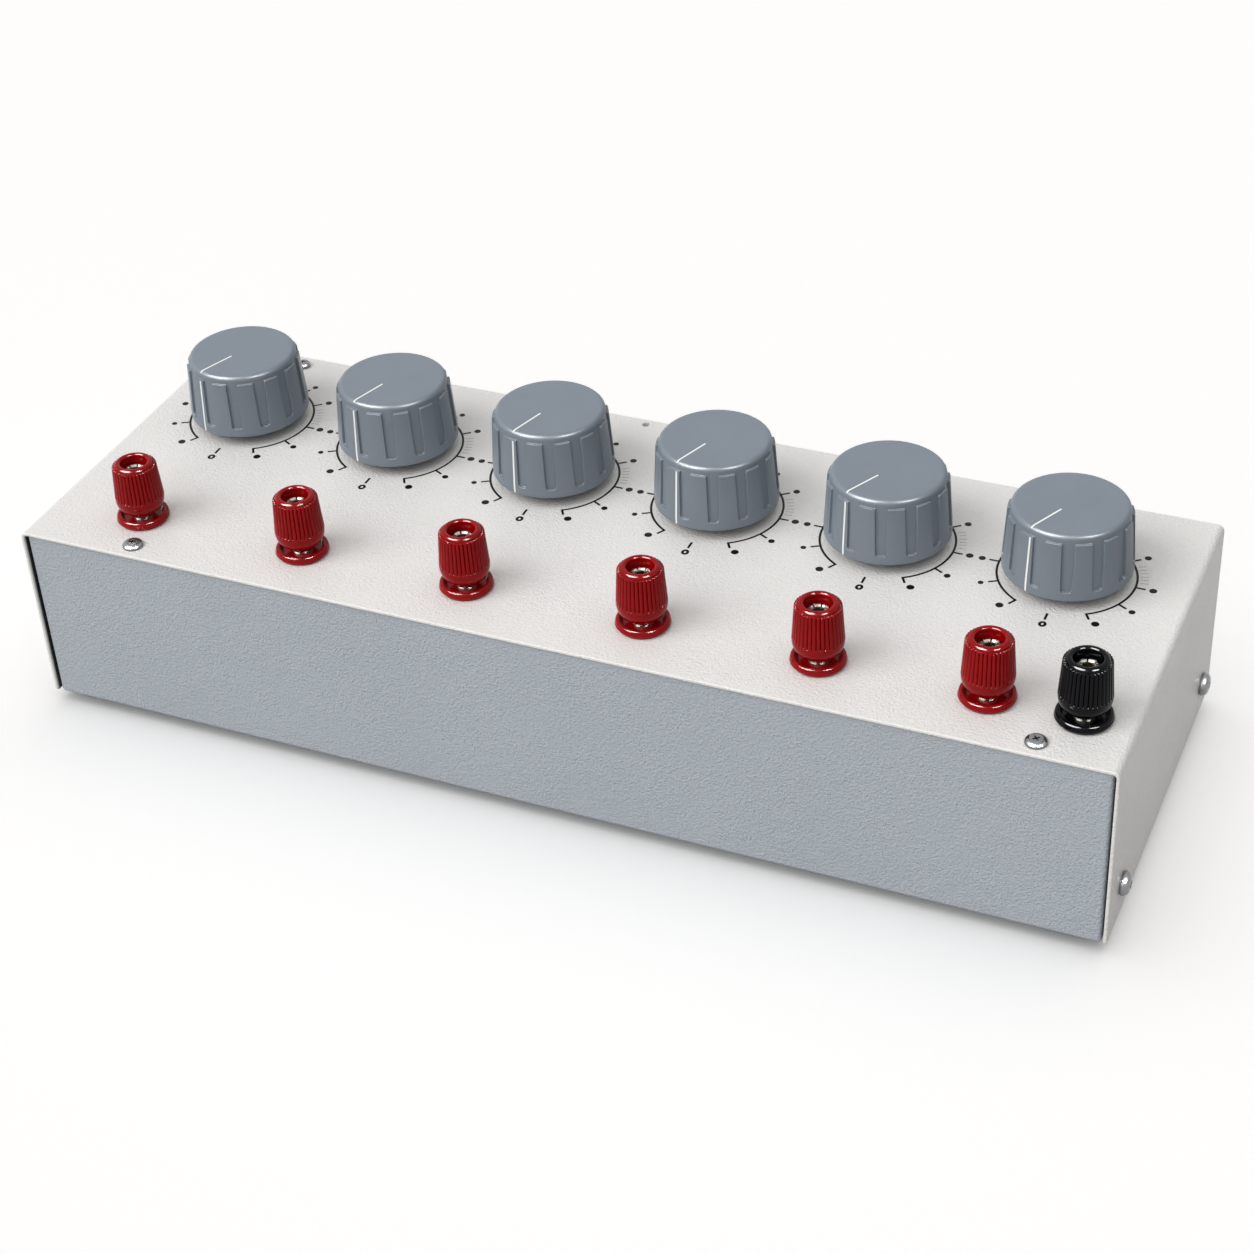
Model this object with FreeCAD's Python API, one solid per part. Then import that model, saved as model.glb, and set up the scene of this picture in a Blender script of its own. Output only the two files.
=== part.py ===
import FreeCAD, Part
import math
import os

os.makedirs("parts", exist_ok=True)

# Decade resistance box: a folded steel case with six decade switches and seven 4 mm terminals on its top.
# Millimetres. X runs along the box, Y to its back and Z up.
# The origin is on the table, under the middle of the box.

# Case
case_length = 380.0
case_depth = 136.0
cover_height = 67.6
sheet = 1.2
cover_bend = 2.4
flap_corner = 1.2
base_bend = 1.8
base_inner_bend = 0.5
base_drop = 0.6
wall_setback = 1.5
side_gap = 1.0
flange_depth = 12.0
return_depth = 22.0

# Feet
foot_height = 4.0
foot_radius = 6.0
foot_taper = 0.6
foot_inset = (14.0, 12.0)
foot_recess_radius = 3.4
foot_recess_depth = 2.4

# Screws and nuts: shank radius, head radius and head height
front_screw = (1.75, 3.5, 1.7)
side_screw = (2.0, 4.05, 2.9)
rear_screw = (1.5, 2.75, 1.9)
foot_screw = (1.5, 2.8, 1.8)
hole_clearance = 0.25
thread_clearance = 0.05
screw_reach = 6.5
clinch_nut_wall = 0.9
clinch_nut_height = 3.0
foot_nut_flats = 5.5
foot_nut_height = 2.4
recess_span = 0.51
recess_width = 0.115
recess_depth = 0.52
foot_nut_proud = 0.8
front_screw_ends = (41.6, 26.8)
rear_screw_ends = (38.0, 40.0)
front_screw_setback = 5.9
rear_screw_setback = 6.2
side_screw_setback = 15.1
side_screw_height = 13.2
spare_hole_radius = 1.35
spare_hole_end = 175.3
spare_hole_setback = 3.4

# Decades
decades = 6
knob_row_ends = (37.9, 41.1)
knob_row_setback = 43.9
positions = 12
pointer_angle = (-20.9, -17.7, -16.8, -20.3, -27.3, -26.0)

# Knob: its lift over the case, then heights over its own lower edge
knob_lift = 4.2
knob_height = 23.0
knob_foot_radius = 21.0
knob_skirt_height = 3.0
knob_pad_top = 20.3
knob_pad_top_radius = 19.9
knob_ledge = 0.85
knob_side_top = 21.2
knob_side_taper = 0.05
knob_face_radius = 17.3
knob_shoulder_sag = 0.52
knob_flutes = 13
knob_flute_depth = 0.9
knob_flute_angle = 11.0
pointer_to_flute = 6.0
knob_wall = 2.4
knob_roof = 3.0
knob_hub_radius = 7.0
knob_hub_height = 4.5
knob_web = 1.6
knob_webs = 4
knob_bore_clearance = 0.02
grub_radius = 2.0
grub_length = 4.3
grub_height = 9.0
grub_slot = (0.6, 0.8)
grub_access = 2.4

# Switch, depths under the top sheet
shaft_radius = 3.0
shaft_clearance = 0.05
shaft_end_gap = 0.4
shaft_flat = 0.6
bush_radius = 4.9
bush_height = 6.0
bush_clearance = 0.25
bush_nut_flats = 14.0
bush_nut_height = 2.2
bush_washer_radius = 7.6
bush_washer = 0.6
housing_radius = 16.0
housing_height = 7.0
wafer_radius = 17.0
wafer = 1.6
wafer_depths = (20.0, 34.0)
wafer_hole = 6.3
rotor_radius = 5.9
rotor_height = 2.6
shaft_tail = 3.0
tie_inset = 3.6
tie_radius = 1.4
tie_clearance = 0.05
tie_head_radius = 2.5
tie_head_height = 2.0
spacer_radius = 2.3
lug_width = 1.6
lug_thickness = 0.5
lug_seat = 2.4
lug_reach = 3.0
resistor_inset = 1.4
resistor_radius = 1.5
resistor_length = 7.0
lead_radius = 0.3
resistors = 10

# Terminals, heights over the top of the case and depths under its sheet
left_post_ends = (35.9, 98.0, 158.9)
right_post_ends = (158.9, 100.2, 46.4, 16.7)
post_setback = 21.9
red_posts = 6
stud_radius = 3.45
stud_clearance = 0.06
stud_top = 19.8
stud_tail = 2.0
socket_radius = 2.0
socket_depth = 15.0
socket_chamfer = 0.7
mouth_slots = 6
mouth_slot = (0.6, 0.9)
wire_hole_radius = 0.9
wire_hole_height = 2.6
flange_foot_radius = 8.3
flange_radius = 9.0
flange_widest = 1.2
flange_shoulder_radius = 8.75
flange_rim = 3.0
flange_rim_round = 0.85
flange_rim_turn = 160.0
dish_radius = 6.2
dish_floor = 1.2
spigot_radius = 4.4
spigot_clearance = 0.15
cap_bottom = 3.9
cap_foot_radius = 5.2
cap_wide_height = 9.1
cap_wide_radius = 8.3
cap_skirt_sag = 0.95
cap_ledge_height = 21.9
cap_ledge_radius = 7.4
cap_collar_radius = 6.8
cap_top = 22.75
cap_lip = 0.8
cap_bore_radius = 4.4
cap_bore_lip = 0.4
cap_thread_top = 17.0
cap_grooves = 36
cap_groove_start = 9.9
cap_groove_depth = 0.45
cap_groove_width = 0.9
clamp_height = 1.4
clamp_radius = 4.4
bottom_bush_radius = 7.4
bottom_bush = 2.5
post_washer_radius = 6.6
post_washer = 0.8
tag_radius = 5.6
tag = 0.5
tag_width = 3.6
tag_length = 13.0
post_nut_flats = 11.0
post_nut_height = 3.6
wire_radius = 0.6
wire_end_gap = 0.3

# Derived levels and places
base_floor = foot_height
flap_bottom = base_floor + base_drop
top = flap_bottom + cover_height
under = top - sheet
half_length = case_length / 2
half_depth = case_depth / 2
base_half_length = half_length - sheet - side_gap
base_half_depth = half_depth - wall_setback
post_x = [end - half_length for end in left_post_ends] + [half_length - end for end in right_post_ends]
post_y = -half_depth + post_setback
knob_pitch = (case_length - sum(knob_row_ends)) / (decades - 1)
knob_x = [knob_row_ends[0] - half_length + i * knob_pitch for i in range(decades)]
knob_row_y = half_depth - knob_row_setback
front_screw_x = (front_screw_ends[0] - half_length, half_length - front_screw_ends[1])
rear_screw_x = (rear_screw_ends[0] - half_length, half_length - rear_screw_ends[1])
front_screw_y = -half_depth + front_screw_setback
rear_screw_y = half_depth - rear_screw_setback
side_screw_y = half_depth - side_screw_setback
side_screw_z = flap_bottom + side_screw_height
spare_hole_x = spare_hole_end - half_length
foot_x = half_length - foot_inset[0]
foot_y = half_depth - foot_inset[1]
step_angle = 360.0 / positions
knob_bottom = top + knob_lift
knob_crown = knob_bottom + knob_height
knob_ceiling = knob_crown - knob_roof
hub_bottom = knob_bottom + knob_hub_height
grub_z = knob_bottom + grub_height
pad_top_z = knob_bottom + knob_pad_top
shoulder_radius = knob_pad_top_radius - knob_ledge
tie_offset = wafer_radius - tie_inset
lug_start = wafer_radius - lug_seat
lug_end = wafer_radius + lug_reach
resistor_ring = lug_end - resistor_inset
wafer_z = [under - depth for depth in wafer_depths]
wafer_face = (wafer_z[0] - wafer / 2, wafer_z[1] + wafer / 2)
shaft_bottom = wafer_z[1] - wafer / 2 - shaft_tail
shaft_top = knob_ceiling - shaft_end_gap
socket_mouth = top + stud_top
bush_low = under - bottom_bush
washer_low = bush_low - post_washer
tag_low = washer_low - tag
post_nut_low = tag_low - post_nut_height

up = FreeCAD.Vector(0, 0, 1)
quarter = 90.0


def point(x, y, z):
    return FreeCAD.Vector(x, y, z)


def cylinder(radius, low, high, x=0.0, y=0.0):
    return Part.makeCylinder(radius, high - low, point(x, y, low), up)


def ring(outer, inner, low, high, x=0.0, y=0.0):
    return cylinder(outer, low, high, x, y).cut(cylinder(inner, low - 1, high + 1, x, y))


def block(x0, x1, y0, y1, z0, z1):
    return Part.makeBox(x1 - x0, y1 - y0, z1 - z0, point(x0, y0, z0))


def hexagon(flats, low, high, x=0.0, y=0.0):
    reach = flats / math.sqrt(3)
    angles = [math.radians(60 * k) for k in range(7)]
    corners = [point(x + reach * math.cos(angle), y + reach * math.sin(angle), low) for angle in angles]
    return Part.Face(Part.makePolygon(corners)).extrude(up * (high - low))


def line(a, b):
    return Part.LineSegment(a, b).toShape()


def arc(a, middle, b):
    return Part.Arc(a, middle, b).toShape()


def turned(outline):
    """Turns an outline about Z: pairs of radius and height, or two such pairs for an arc to the second."""
    edges = []
    start = outline[0]
    for step in outline[1:] + [outline[0]]:
        if isinstance(step[0], tuple):
            middle, end = step
            edges.append(arc(*[point(r, 0, z) for r, z in (start, middle, end)]))
        else:
            end = step
            edges.append(line(point(start[0], 0, start[1]), point(end[0], 0, end[1])))
        start = end
    return Part.Face(Part.Wire(edges)).revolve(point(0, 0, 0), up, 360)


def rounded(radius, centre_r, centre_z, start_degrees, end_degrees):
    """The middle and the end of an arc about a centre in the outline's plane."""
    middle = math.radians((start_degrees + end_degrees) / 2)
    end = math.radians(end_degrees)
    return ((centre_r + radius * math.cos(middle), centre_z + radius * math.sin(middle)),
            (centre_r + radius * math.cos(end), centre_z + radius * math.sin(end)))


def bowed(start, end, sag):
    """The middle and the end of an arc that bulges outwards from a rising chord."""
    run, rise = end[0] - start[0], end[1] - start[1]
    length = math.hypot(run, rise)
    middle = ((start[0] + end[0]) / 2 + sag * rise / length, (start[1] + end[1]) / 2 - sag * run / length)
    return middle, end


def moved(shape, x, y, z=0.0, turn=0.0):
    copy = shape.copy()
    copy.rotate(point(0, 0, 0), up, turn)
    copy.translate(point(x, y, z))
    return copy


def along_x(shape, direction):
    """Lays a shape that stands along Z down, so that its top looks along +X or -X."""
    copy = shape.copy()
    copy.rotate(point(0, 0, 0), point(0, 1, 0), quarter * direction)
    return copy


def save(name, shapes):
    shapes = shapes if isinstance(shapes, list) else [shapes]
    solids = [solid for shape in shapes for solid in shape.Solids]
    whole = solids[0] if len(solids) == 1 else Part.makeCompound(solids)
    whole.exportStep("parts/" + name + ".step")


def rounded_box(x, y, z0, z1, radius):
    box = block(-x, x, -y, y, z0, z1)
    return box.makeFillet(radius, box.Edges)


# Folded case

def top_cover():
    """One sheet folded down at both ends, with the holes that everything on the top passes through."""
    x = half_length
    bend = cover_bend
    inner = cover_bend - sheet
    diagonal = math.sqrt(0.5)
    y = -half_depth

    def corner(side, radius):
        centre = point(side * (x - bend), y, top - bend)
        return centre + point(side * radius * diagonal, 0, radius * diagonal)

    left_out, right_out = point(-x, y, top - bend), point(x, y, top - bend)
    left_top, right_top = point(-x + bend, y, top), point(x - bend, y, top)
    left_in, right_in = point(-x + sheet, y, top - bend), point(x - sheet, y, top - bend)
    left_under, right_under = point(-x + bend, y, under), point(x - bend, y, under)
    left_foot, right_foot = point(-x, y, flap_bottom), point(x, y, flap_bottom)
    left_toe, right_toe = point(-x + sheet, y, flap_bottom), point(x - sheet, y, flap_bottom)
    outline = Part.Wire([
        line(left_foot, left_out), arc(left_out, corner(-1, bend), left_top),
        line(left_top, right_top), arc(right_top, corner(1, bend), right_out),
        line(right_out, right_foot), line(right_foot, right_toe),
        line(right_toe, right_in), arc(right_in, corner(1, inner), right_under),
        line(right_under, left_under), arc(left_under, corner(-1, inner), left_in),
        line(left_in, left_toe), line(left_toe, left_foot)])
    cover = Part.Face(outline).extrude(point(0, case_depth, 0))
    corners = [edge for edge in cover.Edges
               if abs(edge.CenterOfMass.z - flap_bottom) < 0.01 and abs(edge.Length - sheet) < 0.01]
    cover = cover.makeFillet(flap_corner, corners)
    holes = [cylinder(bush_radius + bush_clearance, under - 1, top + 1, kx, knob_row_y) for kx in knob_x]
    holes += [cylinder(spigot_radius + spigot_clearance, under - 1, top + 1, px, post_y) for px in post_x]
    holes += [cylinder(radius, under - 1, top + 1, sx, sy) for sx, sy, radius in top_screw_places()]
    spare_y = half_depth - spare_hole_setback
    holes.append(cylinder(spare_hole_radius, under - 1, top + 1, spare_hole_x, spare_y))
    holes += side_holes()
    return cover.cut(Part.makeCompound(holes))


def top_screw_places():
    front = [(sx, front_screw_y, front_screw[0] + hole_clearance) for sx in front_screw_x]
    return front + [(sx, rear_screw_y, rear_screw[0] + hole_clearance) for sx in rear_screw_x]


def side_holes():
    hole = cylinder(side_screw[0] + hole_clearance, base_half_length - 2 * sheet, half_length + 1)
    return [moved(along_x(hole, side), 0, sy, side_screw_z) for side, sy in side_screw_places()]


def side_screw_places():
    return [(side, sy) for side in (-1, 1) for sy in (-side_screw_y, side_screw_y)]


def base_chassis():
    """A folded tray: floor, two walls, a flange along the top of each and a return at each of its ends."""
    x, y = base_half_length, base_half_depth
    outer = rounded_box(x, y, base_floor, under, base_bend)
    inner = rounded_box(x - sheet, y - sheet, base_floor + sheet, under - sheet, base_inner_bend)
    tray = outer.cut(inner)
    over = 2 * base_bend
    tray = tray.cut(block(-x - 1, x + 1, flange_depth - y, y - flange_depth, under - base_bend, under + 1))
    for side in (-1, 1):
        reach = sorted((side * (x - base_bend), side * (x + 1)))
        tray = tray.cut(block(*reach, return_depth - y, y - return_depth, base_floor - over, under + over))
    holes = [cylinder(radius, under - 2 * sheet, under + 1, sx, sy) for sx, sy, radius in top_screw_places()]
    holes += side_holes()
    foot_hole = foot_screw[0] + hole_clearance
    holes += [cylinder(foot_hole, base_floor - 1, base_floor + 2 * sheet, fx, fy) for fx, fy in foot_places()]
    return tray.cut(Part.makeCompound(holes))


# Screws, nuts and feet

def foot_places():
    return [(fx, fy) for fx in (-foot_x, foot_x) for fy in (-foot_y, foot_y)]


def pan_screw(sizes, reach, face):
    """A domed head with a cross recess, its shank below, for a face at the given height."""
    shank, head, height = sizes
    crown = face + height
    edge = face + height * 0.3
    bulge = ((head * 0.8, face + height * 0.78), (head * 0.45, crown))
    dome = turned([(0, face), (head, face), (head, edge), bulge, (0, crown)])
    body = dome.fuse(cylinder(shank, face - reach, face + 0.1))
    span, width = recess_span * head, recess_width * head
    low = crown - recess_depth * height
    across = block(-span, span, -width, width, low, crown + 1)
    return body.cut(across.fuse(block(-width, width, -span, span, low, crown + 1)))


def clinch_nut(shank, face):
    bore = shank + thread_clearance
    return ring(shank + clinch_nut_wall, bore, face - clinch_nut_height, face)


def case_screws():
    """Front screws, back screws, side screws and the nuts pressed into the base for them."""
    front = [moved(pan_screw(front_screw, screw_reach, top), sx, front_screw_y) for sx in front_screw_x]
    rear = [moved(pan_screw(rear_screw, screw_reach, top), sx, rear_screw_y) for sx in rear_screw_x]
    nut_face = under - sheet
    nuts = [moved(clinch_nut(front_screw[0], nut_face), sx, front_screw_y) for sx in front_screw_x]
    nuts += [moved(clinch_nut(rear_screw[0], nut_face), sx, rear_screw_y) for sx in rear_screw_x]
    screw = pan_screw(side_screw, screw_reach, half_length)
    nut = clinch_nut(side_screw[0], base_half_length - sheet)
    sides = [moved(along_x(screw, side), 0, sy, side_screw_z) for side, sy in side_screw_places()]
    nuts += [moved(along_x(nut, side), 0, sy, side_screw_z) for side, sy in side_screw_places()]
    save("front_top_screws", front)
    save("rear_top_screws", rear)
    save("side_screws", sides)
    save("clinch_nuts", nuts)


def feet():
    """Low rubber buttons, each held by a screw up through the floor and a nut inside."""
    shank, head, height = foot_screw
    ceiling = foot_recess_depth
    bore = shank + hole_clearance
    button = turned([(bore, ceiling), (foot_recess_radius, ceiling), (foot_recess_radius, 0),
                     (foot_radius - foot_taper, 0), (foot_radius, foot_height), (bore, foot_height)])
    screw = turned([(0, ceiling), (0, ceiling - height), (head * 0.6, ceiling - height),
                    (head, ceiling - height * 0.4), (head, ceiling)])
    nut_low = base_floor + sheet
    nut_high = nut_low + foot_nut_height
    screw = screw.fuse(cylinder(shank, ceiling - 0.1, nut_high + foot_nut_proud))
    nut = hexagon(foot_nut_flats, nut_low, nut_high)
    nut = nut.cut(cylinder(shank + thread_clearance, nut_low - 1, nut_high + 1))
    save("rubber_feet", [moved(button, fx, fy) for fx, fy in foot_places()])
    save("foot_screws", [moved(screw, fx, fy) for fx, fy in foot_places()])
    save("foot_nuts", [moved(nut, fx, fy) for fx, fy in foot_places()])


# Knobs

def knob_blank():
    """The turned form: skirt, tapered side up to a ledge, rounded shoulder and flat face, hollow below."""
    skirt = knob_bottom + knob_skirt_height
    side_top = (shoulder_radius - knob_side_taper, knob_bottom + knob_side_top)
    bore = shaft_radius + knob_bore_clearance
    return turned([
        (knob_hub_radius, hub_bottom), (knob_hub_radius, knob_ceiling),
        (shoulder_radius - knob_wall, knob_ceiling), (knob_foot_radius - knob_wall, knob_bottom),
        (knob_foot_radius, knob_bottom), (knob_foot_radius, skirt), (knob_pad_top_radius, pad_top_z),
        (shoulder_radius, pad_top_z), side_top,
        bowed(side_top, (knob_face_radius, knob_crown), knob_shoulder_sag),
        (0, knob_crown), (0, knob_ceiling), (bore, knob_ceiling), (bore, hub_bottom)])


def knob_flute():
    """One shallow flute, open at the top, where its floor runs out into the shoulder."""
    skirt = knob_bottom + knob_skirt_height
    outside = knob_foot_radius + 1
    floor = knob_foot_radius - knob_flute_depth
    outline = Part.makePolygon([
        point(floor, 0, skirt), point(outside, 0, skirt), point(outside, 0, pad_top_z + 1),
        point(shoulder_radius, 0, pad_top_z + 1), point(shoulder_radius, 0, pad_top_z),
        point(floor, 0, skirt)])
    return Part.Face(outline).revolve(point(0, 0, 0), up, knob_flute_angle)


def knob():
    """Fluted knob on a webbed hub. Its pointer side looks to the front and its grub screw to the back."""
    web = block(knob_hub_radius - 0.5, shoulder_radius - knob_wall + 0.5, -knob_web / 2, knob_web / 2,
                hub_bottom, knob_ceiling + 0.5)
    body = knob_blank().fuse([moved(web, 0, 0, 0, (k + 0.5) * 360.0 / knob_webs) for k in range(knob_webs)])
    first = pointer_to_flute - quarter
    cuts = [moved(knob_flute(), 0, 0, 0, first + k * 360.0 / knob_flutes) for k in range(knob_flutes)]
    access = cylinder(grub_access, knob_hub_radius + 1, knob_foot_radius + 1)
    threaded = cylinder(grub_radius + thread_clearance, 0, knob_hub_radius + 2)
    cuts += [moved(along_x(hole, 1), 0, 0, grub_z, quarter) for hole in (access, threaded)]
    return body.cut(cuts)


def grub_screw():
    """Headless screw in the hub, its point on the shaft's flat, its slot outwards."""
    inner = shaft_radius - shaft_flat
    outer = inner + grub_length
    width, depth = grub_slot
    slot = block(-grub_radius, grub_radius, -width / 2, width / 2, outer - depth, outer + 1)
    screw = cylinder(grub_radius, inner, outer).cut(slot)
    return moved(along_x(screw, 1), 0, 0, grub_z, quarter)


def switch_shaft():
    """Shaft with a flat for the grub screw, carrying the rotor of each wafer."""
    shaft = cylinder(shaft_radius, shaft_bottom, shaft_top)
    flat = block(-shaft_radius, shaft_radius, shaft_radius - shaft_flat, shaft_radius + 1, hub_bottom,
                 shaft_top + 1)
    shaft = shaft.cut(flat)
    for level in wafer_z:
        shaft = shaft.fuse(cylinder(rotor_radius, level - rotor_height / 2, level + rotor_height / 2))
    return shaft


# Switches

def switch_housing():
    """Die-cast index housing under the sheet, its threaded bush up through the hole."""
    bore = shaft_radius + shaft_clearance
    low = under - housing_height
    return turned([(bore, low), (housing_radius, low), (housing_radius, under), (bush_radius, under),
                   (bush_radius, top + bush_height), (bore, top + bush_height)])


def bush_nut():
    low = top + bush_washer
    high = low + bush_nut_height
    return hexagon(bush_nut_flats, low, high).cut(cylinder(bush_radius + thread_clearance, low - 1, high + 1))


def wafer_plates():
    """Two round contact wafers per switch, drilled for the tie bolts."""
    plates = []
    for level in wafer_z:
        plate = ring(wafer_radius, wafer_hole, level - wafer / 2, level + wafer / 2)
        holes = [cylinder(tie_radius + tie_clearance, level - wafer, level + wafer, side * tie_offset)
                 for side in (-1, 1)]
        plates.append(plate.cut(holes))
    return plates


def tie_bolt():
    """Bolt from the housing down to its head under the lower wafer."""
    low = wafer_z[1] - wafer / 2
    bottom = low - tie_head_height
    return turned([(0, bottom), (tie_head_radius, bottom), (tie_head_radius, low), (tie_radius, low),
                   (tie_radius, under - housing_height), (0, under - housing_height)])


def spacers():
    """Tubes on the tie bolts that keep the wafers apart."""
    gaps = [(wafer_z[0] + wafer / 2, under - housing_height), (wafer_face[1], wafer_face[0])]
    return [ring(spacer_radius, tie_radius + tie_clearance, low, high) for low, high in gaps]


def lugs():
    """Solder lugs on the faces of the two wafers that look at each other."""
    levels = (wafer_face[0] - lug_thickness, wafer_face[1])
    half = lug_width / 2
    tabs = [block(lug_start, lug_end, -half, half, low, low + lug_thickness) for low in levels]
    return [moved(tab, 0, 0, 0, (k + 0.5) * step_angle) for k in range(positions) for tab in tabs]


def decade_resistors():
    """Resistors of one decade, upright between the lugs of the two wafers."""
    high = wafer_face[0] - lug_thickness
    low = wafer_face[1] + lug_thickness
    middle = (high + low) / 2
    half = resistor_length / 2
    body = cylinder(resistor_radius, middle - half, middle + half, resistor_ring)
    leads = block(resistor_ring - lead_radius, resistor_ring + lead_radius, -lead_radius, lead_radius,
                  low, high)
    one = body.fuse(leads)
    return [moved(one, 0, 0, 0, (k + 0.5) * step_angle) for k in range(resistors)]


def decade_parts():
    """Every decade has the same switch. Only the angle that its knob stands at differs."""
    washer = ring(bush_washer_radius, bush_radius + bush_clearance, top, top + bush_washer)
    sides = (-tie_offset, tie_offset)
    groups = {
        "switch_housings": [switch_housing()],
        "bush_nuts": [bush_nut()],
        "bush_washers": [washer],
        "switch_wafers": wafer_plates(),
        "tie_bolts": [moved(tie_bolt(), x, 0) for x in sides],
        "wafer_spacers": [moved(tube, x, 0) for tube in spacers() for x in sides],
        "wafer_lugs": lugs(),
        "resistors": decade_resistors()}
    for name, shapes in groups.items():
        save(name, [moved(shape, kx, knob_row_y) for kx in knob_x for shape in shapes])
    turning = {"knob_": knob(), "knob_grub_screw_": grub_screw(), "switch_shaft_": switch_shaft()}
    for number, (kx, angle) in enumerate(zip(knob_x, pointer_angle), 1):
        for name, shape in turning.items():
            save(name + str(number), moved(shape, kx, knob_row_y, 0, angle))


# Terminals

def stud():
    """Threaded stud with the socket and a wire hole across it, through the sheet to its nut below."""
    edge = socket_chamfer / 2
    tail = post_nut_low - stud_tail
    body = turned([
        (0, tail), (stud_radius, tail), (stud_radius, socket_mouth - edge),
        (stud_radius - edge, socket_mouth), (socket_radius + socket_chamfer, socket_mouth),
        (socket_radius, socket_mouth - socket_chamfer), (socket_radius, socket_mouth - socket_depth),
        (0, socket_mouth - socket_depth)])
    width, depth = mouth_slot
    slot = block(0, stud_radius + 1, -width / 2, width / 2, socket_mouth - depth, socket_mouth + 1)
    cuts = [moved(slot, 0, 0, 0, (k + 0.5) * 360.0 / mouth_slots) for k in range(mouth_slots)]
    across = along_x(cylinder(wire_hole_radius, -stud_radius - 1, stud_radius + 1), 1)
    cuts.append(moved(across, 0, 0, top + wire_hole_height))
    return body.cut(cuts)


def flange():
    """Dished insulator under the cap, undercut at its foot, its spigot down through the sheet."""
    bore = stud_radius + stud_clearance
    shoulder = top + flange_rim - flange_rim_round
    crest = (flange_rim_round, flange_shoulder_radius - flange_rim_round, shoulder)
    return turned([
        (bore, under), (spigot_radius, under), (spigot_radius, top), (flange_foot_radius, top),
        (flange_radius, top + flange_widest), (flange_shoulder_radius, shoulder),
        rounded(*crest, 0, quarter), rounded(*crest, quarter, flange_rim_turn),
        (dish_radius, top + dish_floor), (bore, top + dish_floor)])


def cap_blank():
    """Turned cap: bowed skirt, tapered grip, ledge, collar with a rolled lip, wide mouth over the socket."""
    bore = stud_radius + stud_clearance
    crown = top + cap_top
    foot = (cap_foot_radius, top + cap_bottom)
    wide = (cap_wide_radius, top + cap_wide_height)
    ledge = top + cap_ledge_height
    mouth = cap_bore_radius + cap_bore_lip
    return turned([
        (bore, top + cap_bottom), foot, bowed(foot, wide, cap_skirt_sag), (cap_ledge_radius, ledge),
        (cap_collar_radius, ledge), (cap_collar_radius, crown - cap_lip),
        rounded(cap_lip, cap_collar_radius - cap_lip, crown - cap_lip, 0, quarter), (mouth, crown),
        rounded(cap_bore_lip, mouth, crown - cap_bore_lip, quarter, 2 * quarter),
        (cap_bore_radius, top + cap_thread_top), (bore, top + cap_thread_top)])


def cap_groove():
    """One groove of the grip, a notch that leans with the taper and runs out through the ledge."""
    rise = cap_ledge_height - cap_wide_height
    taper = (cap_wide_radius - cap_ledge_radius) / rise
    start = cap_groove_start
    surface = cap_wide_radius - (start - cap_wide_height) * taper
    tip = point(surface - cap_groove_depth, 0, top + start)
    notch = Part.Face(Part.makePolygon([
        tip, point(surface + 1, -cap_groove_width, top + start),
        point(surface + 1, cap_groove_width, top + start), tip]))
    length = cap_ledge_height - start
    return notch.extrude(point(-taper * length, 0, length))


def cap():
    turn = 360.0 / cap_grooves
    return cap_blank().cut([moved(cap_groove(), 0, 0, 0, k * turn) for k in range(cap_grooves)])


def solder_tag():
    """Ring under the nut with an arm to the back for the wires."""
    arm = block(-tag_width / 2, tag_width / 2, tag_radius - 0.5, tag_length, tag_low, washer_low)
    return ring(tag_radius, stud_radius + stud_clearance, tag_low, washer_low).fuse(arm)


def terminals():
    """The stack of each terminal, from its cap down to the nut under the sheet."""
    bore = stud_radius + stud_clearance
    nut = hexagon(post_nut_flats, post_nut_low, tag_low).cut(cylinder(bore, post_nut_low - 1, tag_low + 1))
    groups = {
        "post_studs": stud(),
        "post_bushes": ring(bottom_bush_radius, bore, bush_low, under),
        "post_washers": ring(post_washer_radius, bore, washer_low, bush_low),
        "solder_tags": solder_tag(),
        "post_nuts": nut}
    for name, shape in groups.items():
        save(name, [moved(shape, px, post_y) for px in post_x])
    save("post_flanges_red", [moved(flange(), px, post_y) for px in post_x[:red_posts]])
    save("post_flange_black", [moved(flange(), px, post_y) for px in post_x[red_posts:]])
    barrel = cap()
    clamp = ring(clamp_radius, bore, top + cap_bottom - clamp_height, top + cap_bottom)
    for number, px in enumerate(post_x, 1):
        save("post_cap_%d" % number, moved(barrel, px, post_y))
        save("post_clamp_%d" % number, moved(clamp, px, post_y))


def hook_up_wires():
    """Straight wires from the solder tags back to both wafers of the decade between them."""
    wires = []
    tag_end = point(0, post_y + tag_length - wire_radius, tag_low - wire_radius)
    reach = lug_end + wire_end_gap
    levels = (wafer_face[0] - lug_thickness / 2, wafer_face[1] + lug_thickness / 2)
    for k, kx in enumerate(knob_x):
        for px, side, level in ((post_x[k], -1, levels[0]), (post_x[k + 1], 1, levels[1])):
            angle = math.radians(side * step_angle / 2 - quarter)
            lug = point(kx + reach * math.cos(angle), knob_row_y + reach * math.sin(angle), level)
            start = tag_end + point(px - side * (tag_width / 2 - wire_radius), 0, 0)
            run = lug - start
            wires.append(Part.makeCylinder(wire_radius, run.Length, start, run))
    return wires


save("top_cover", top_cover())
save("base_chassis", base_chassis())
case_screws()
feet()
decade_parts()
terminals()
save("hook_up_wires", hook_up_wires())
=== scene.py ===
import math

import bmesh
import bpy
from mathutils import Matrix, Vector


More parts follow.
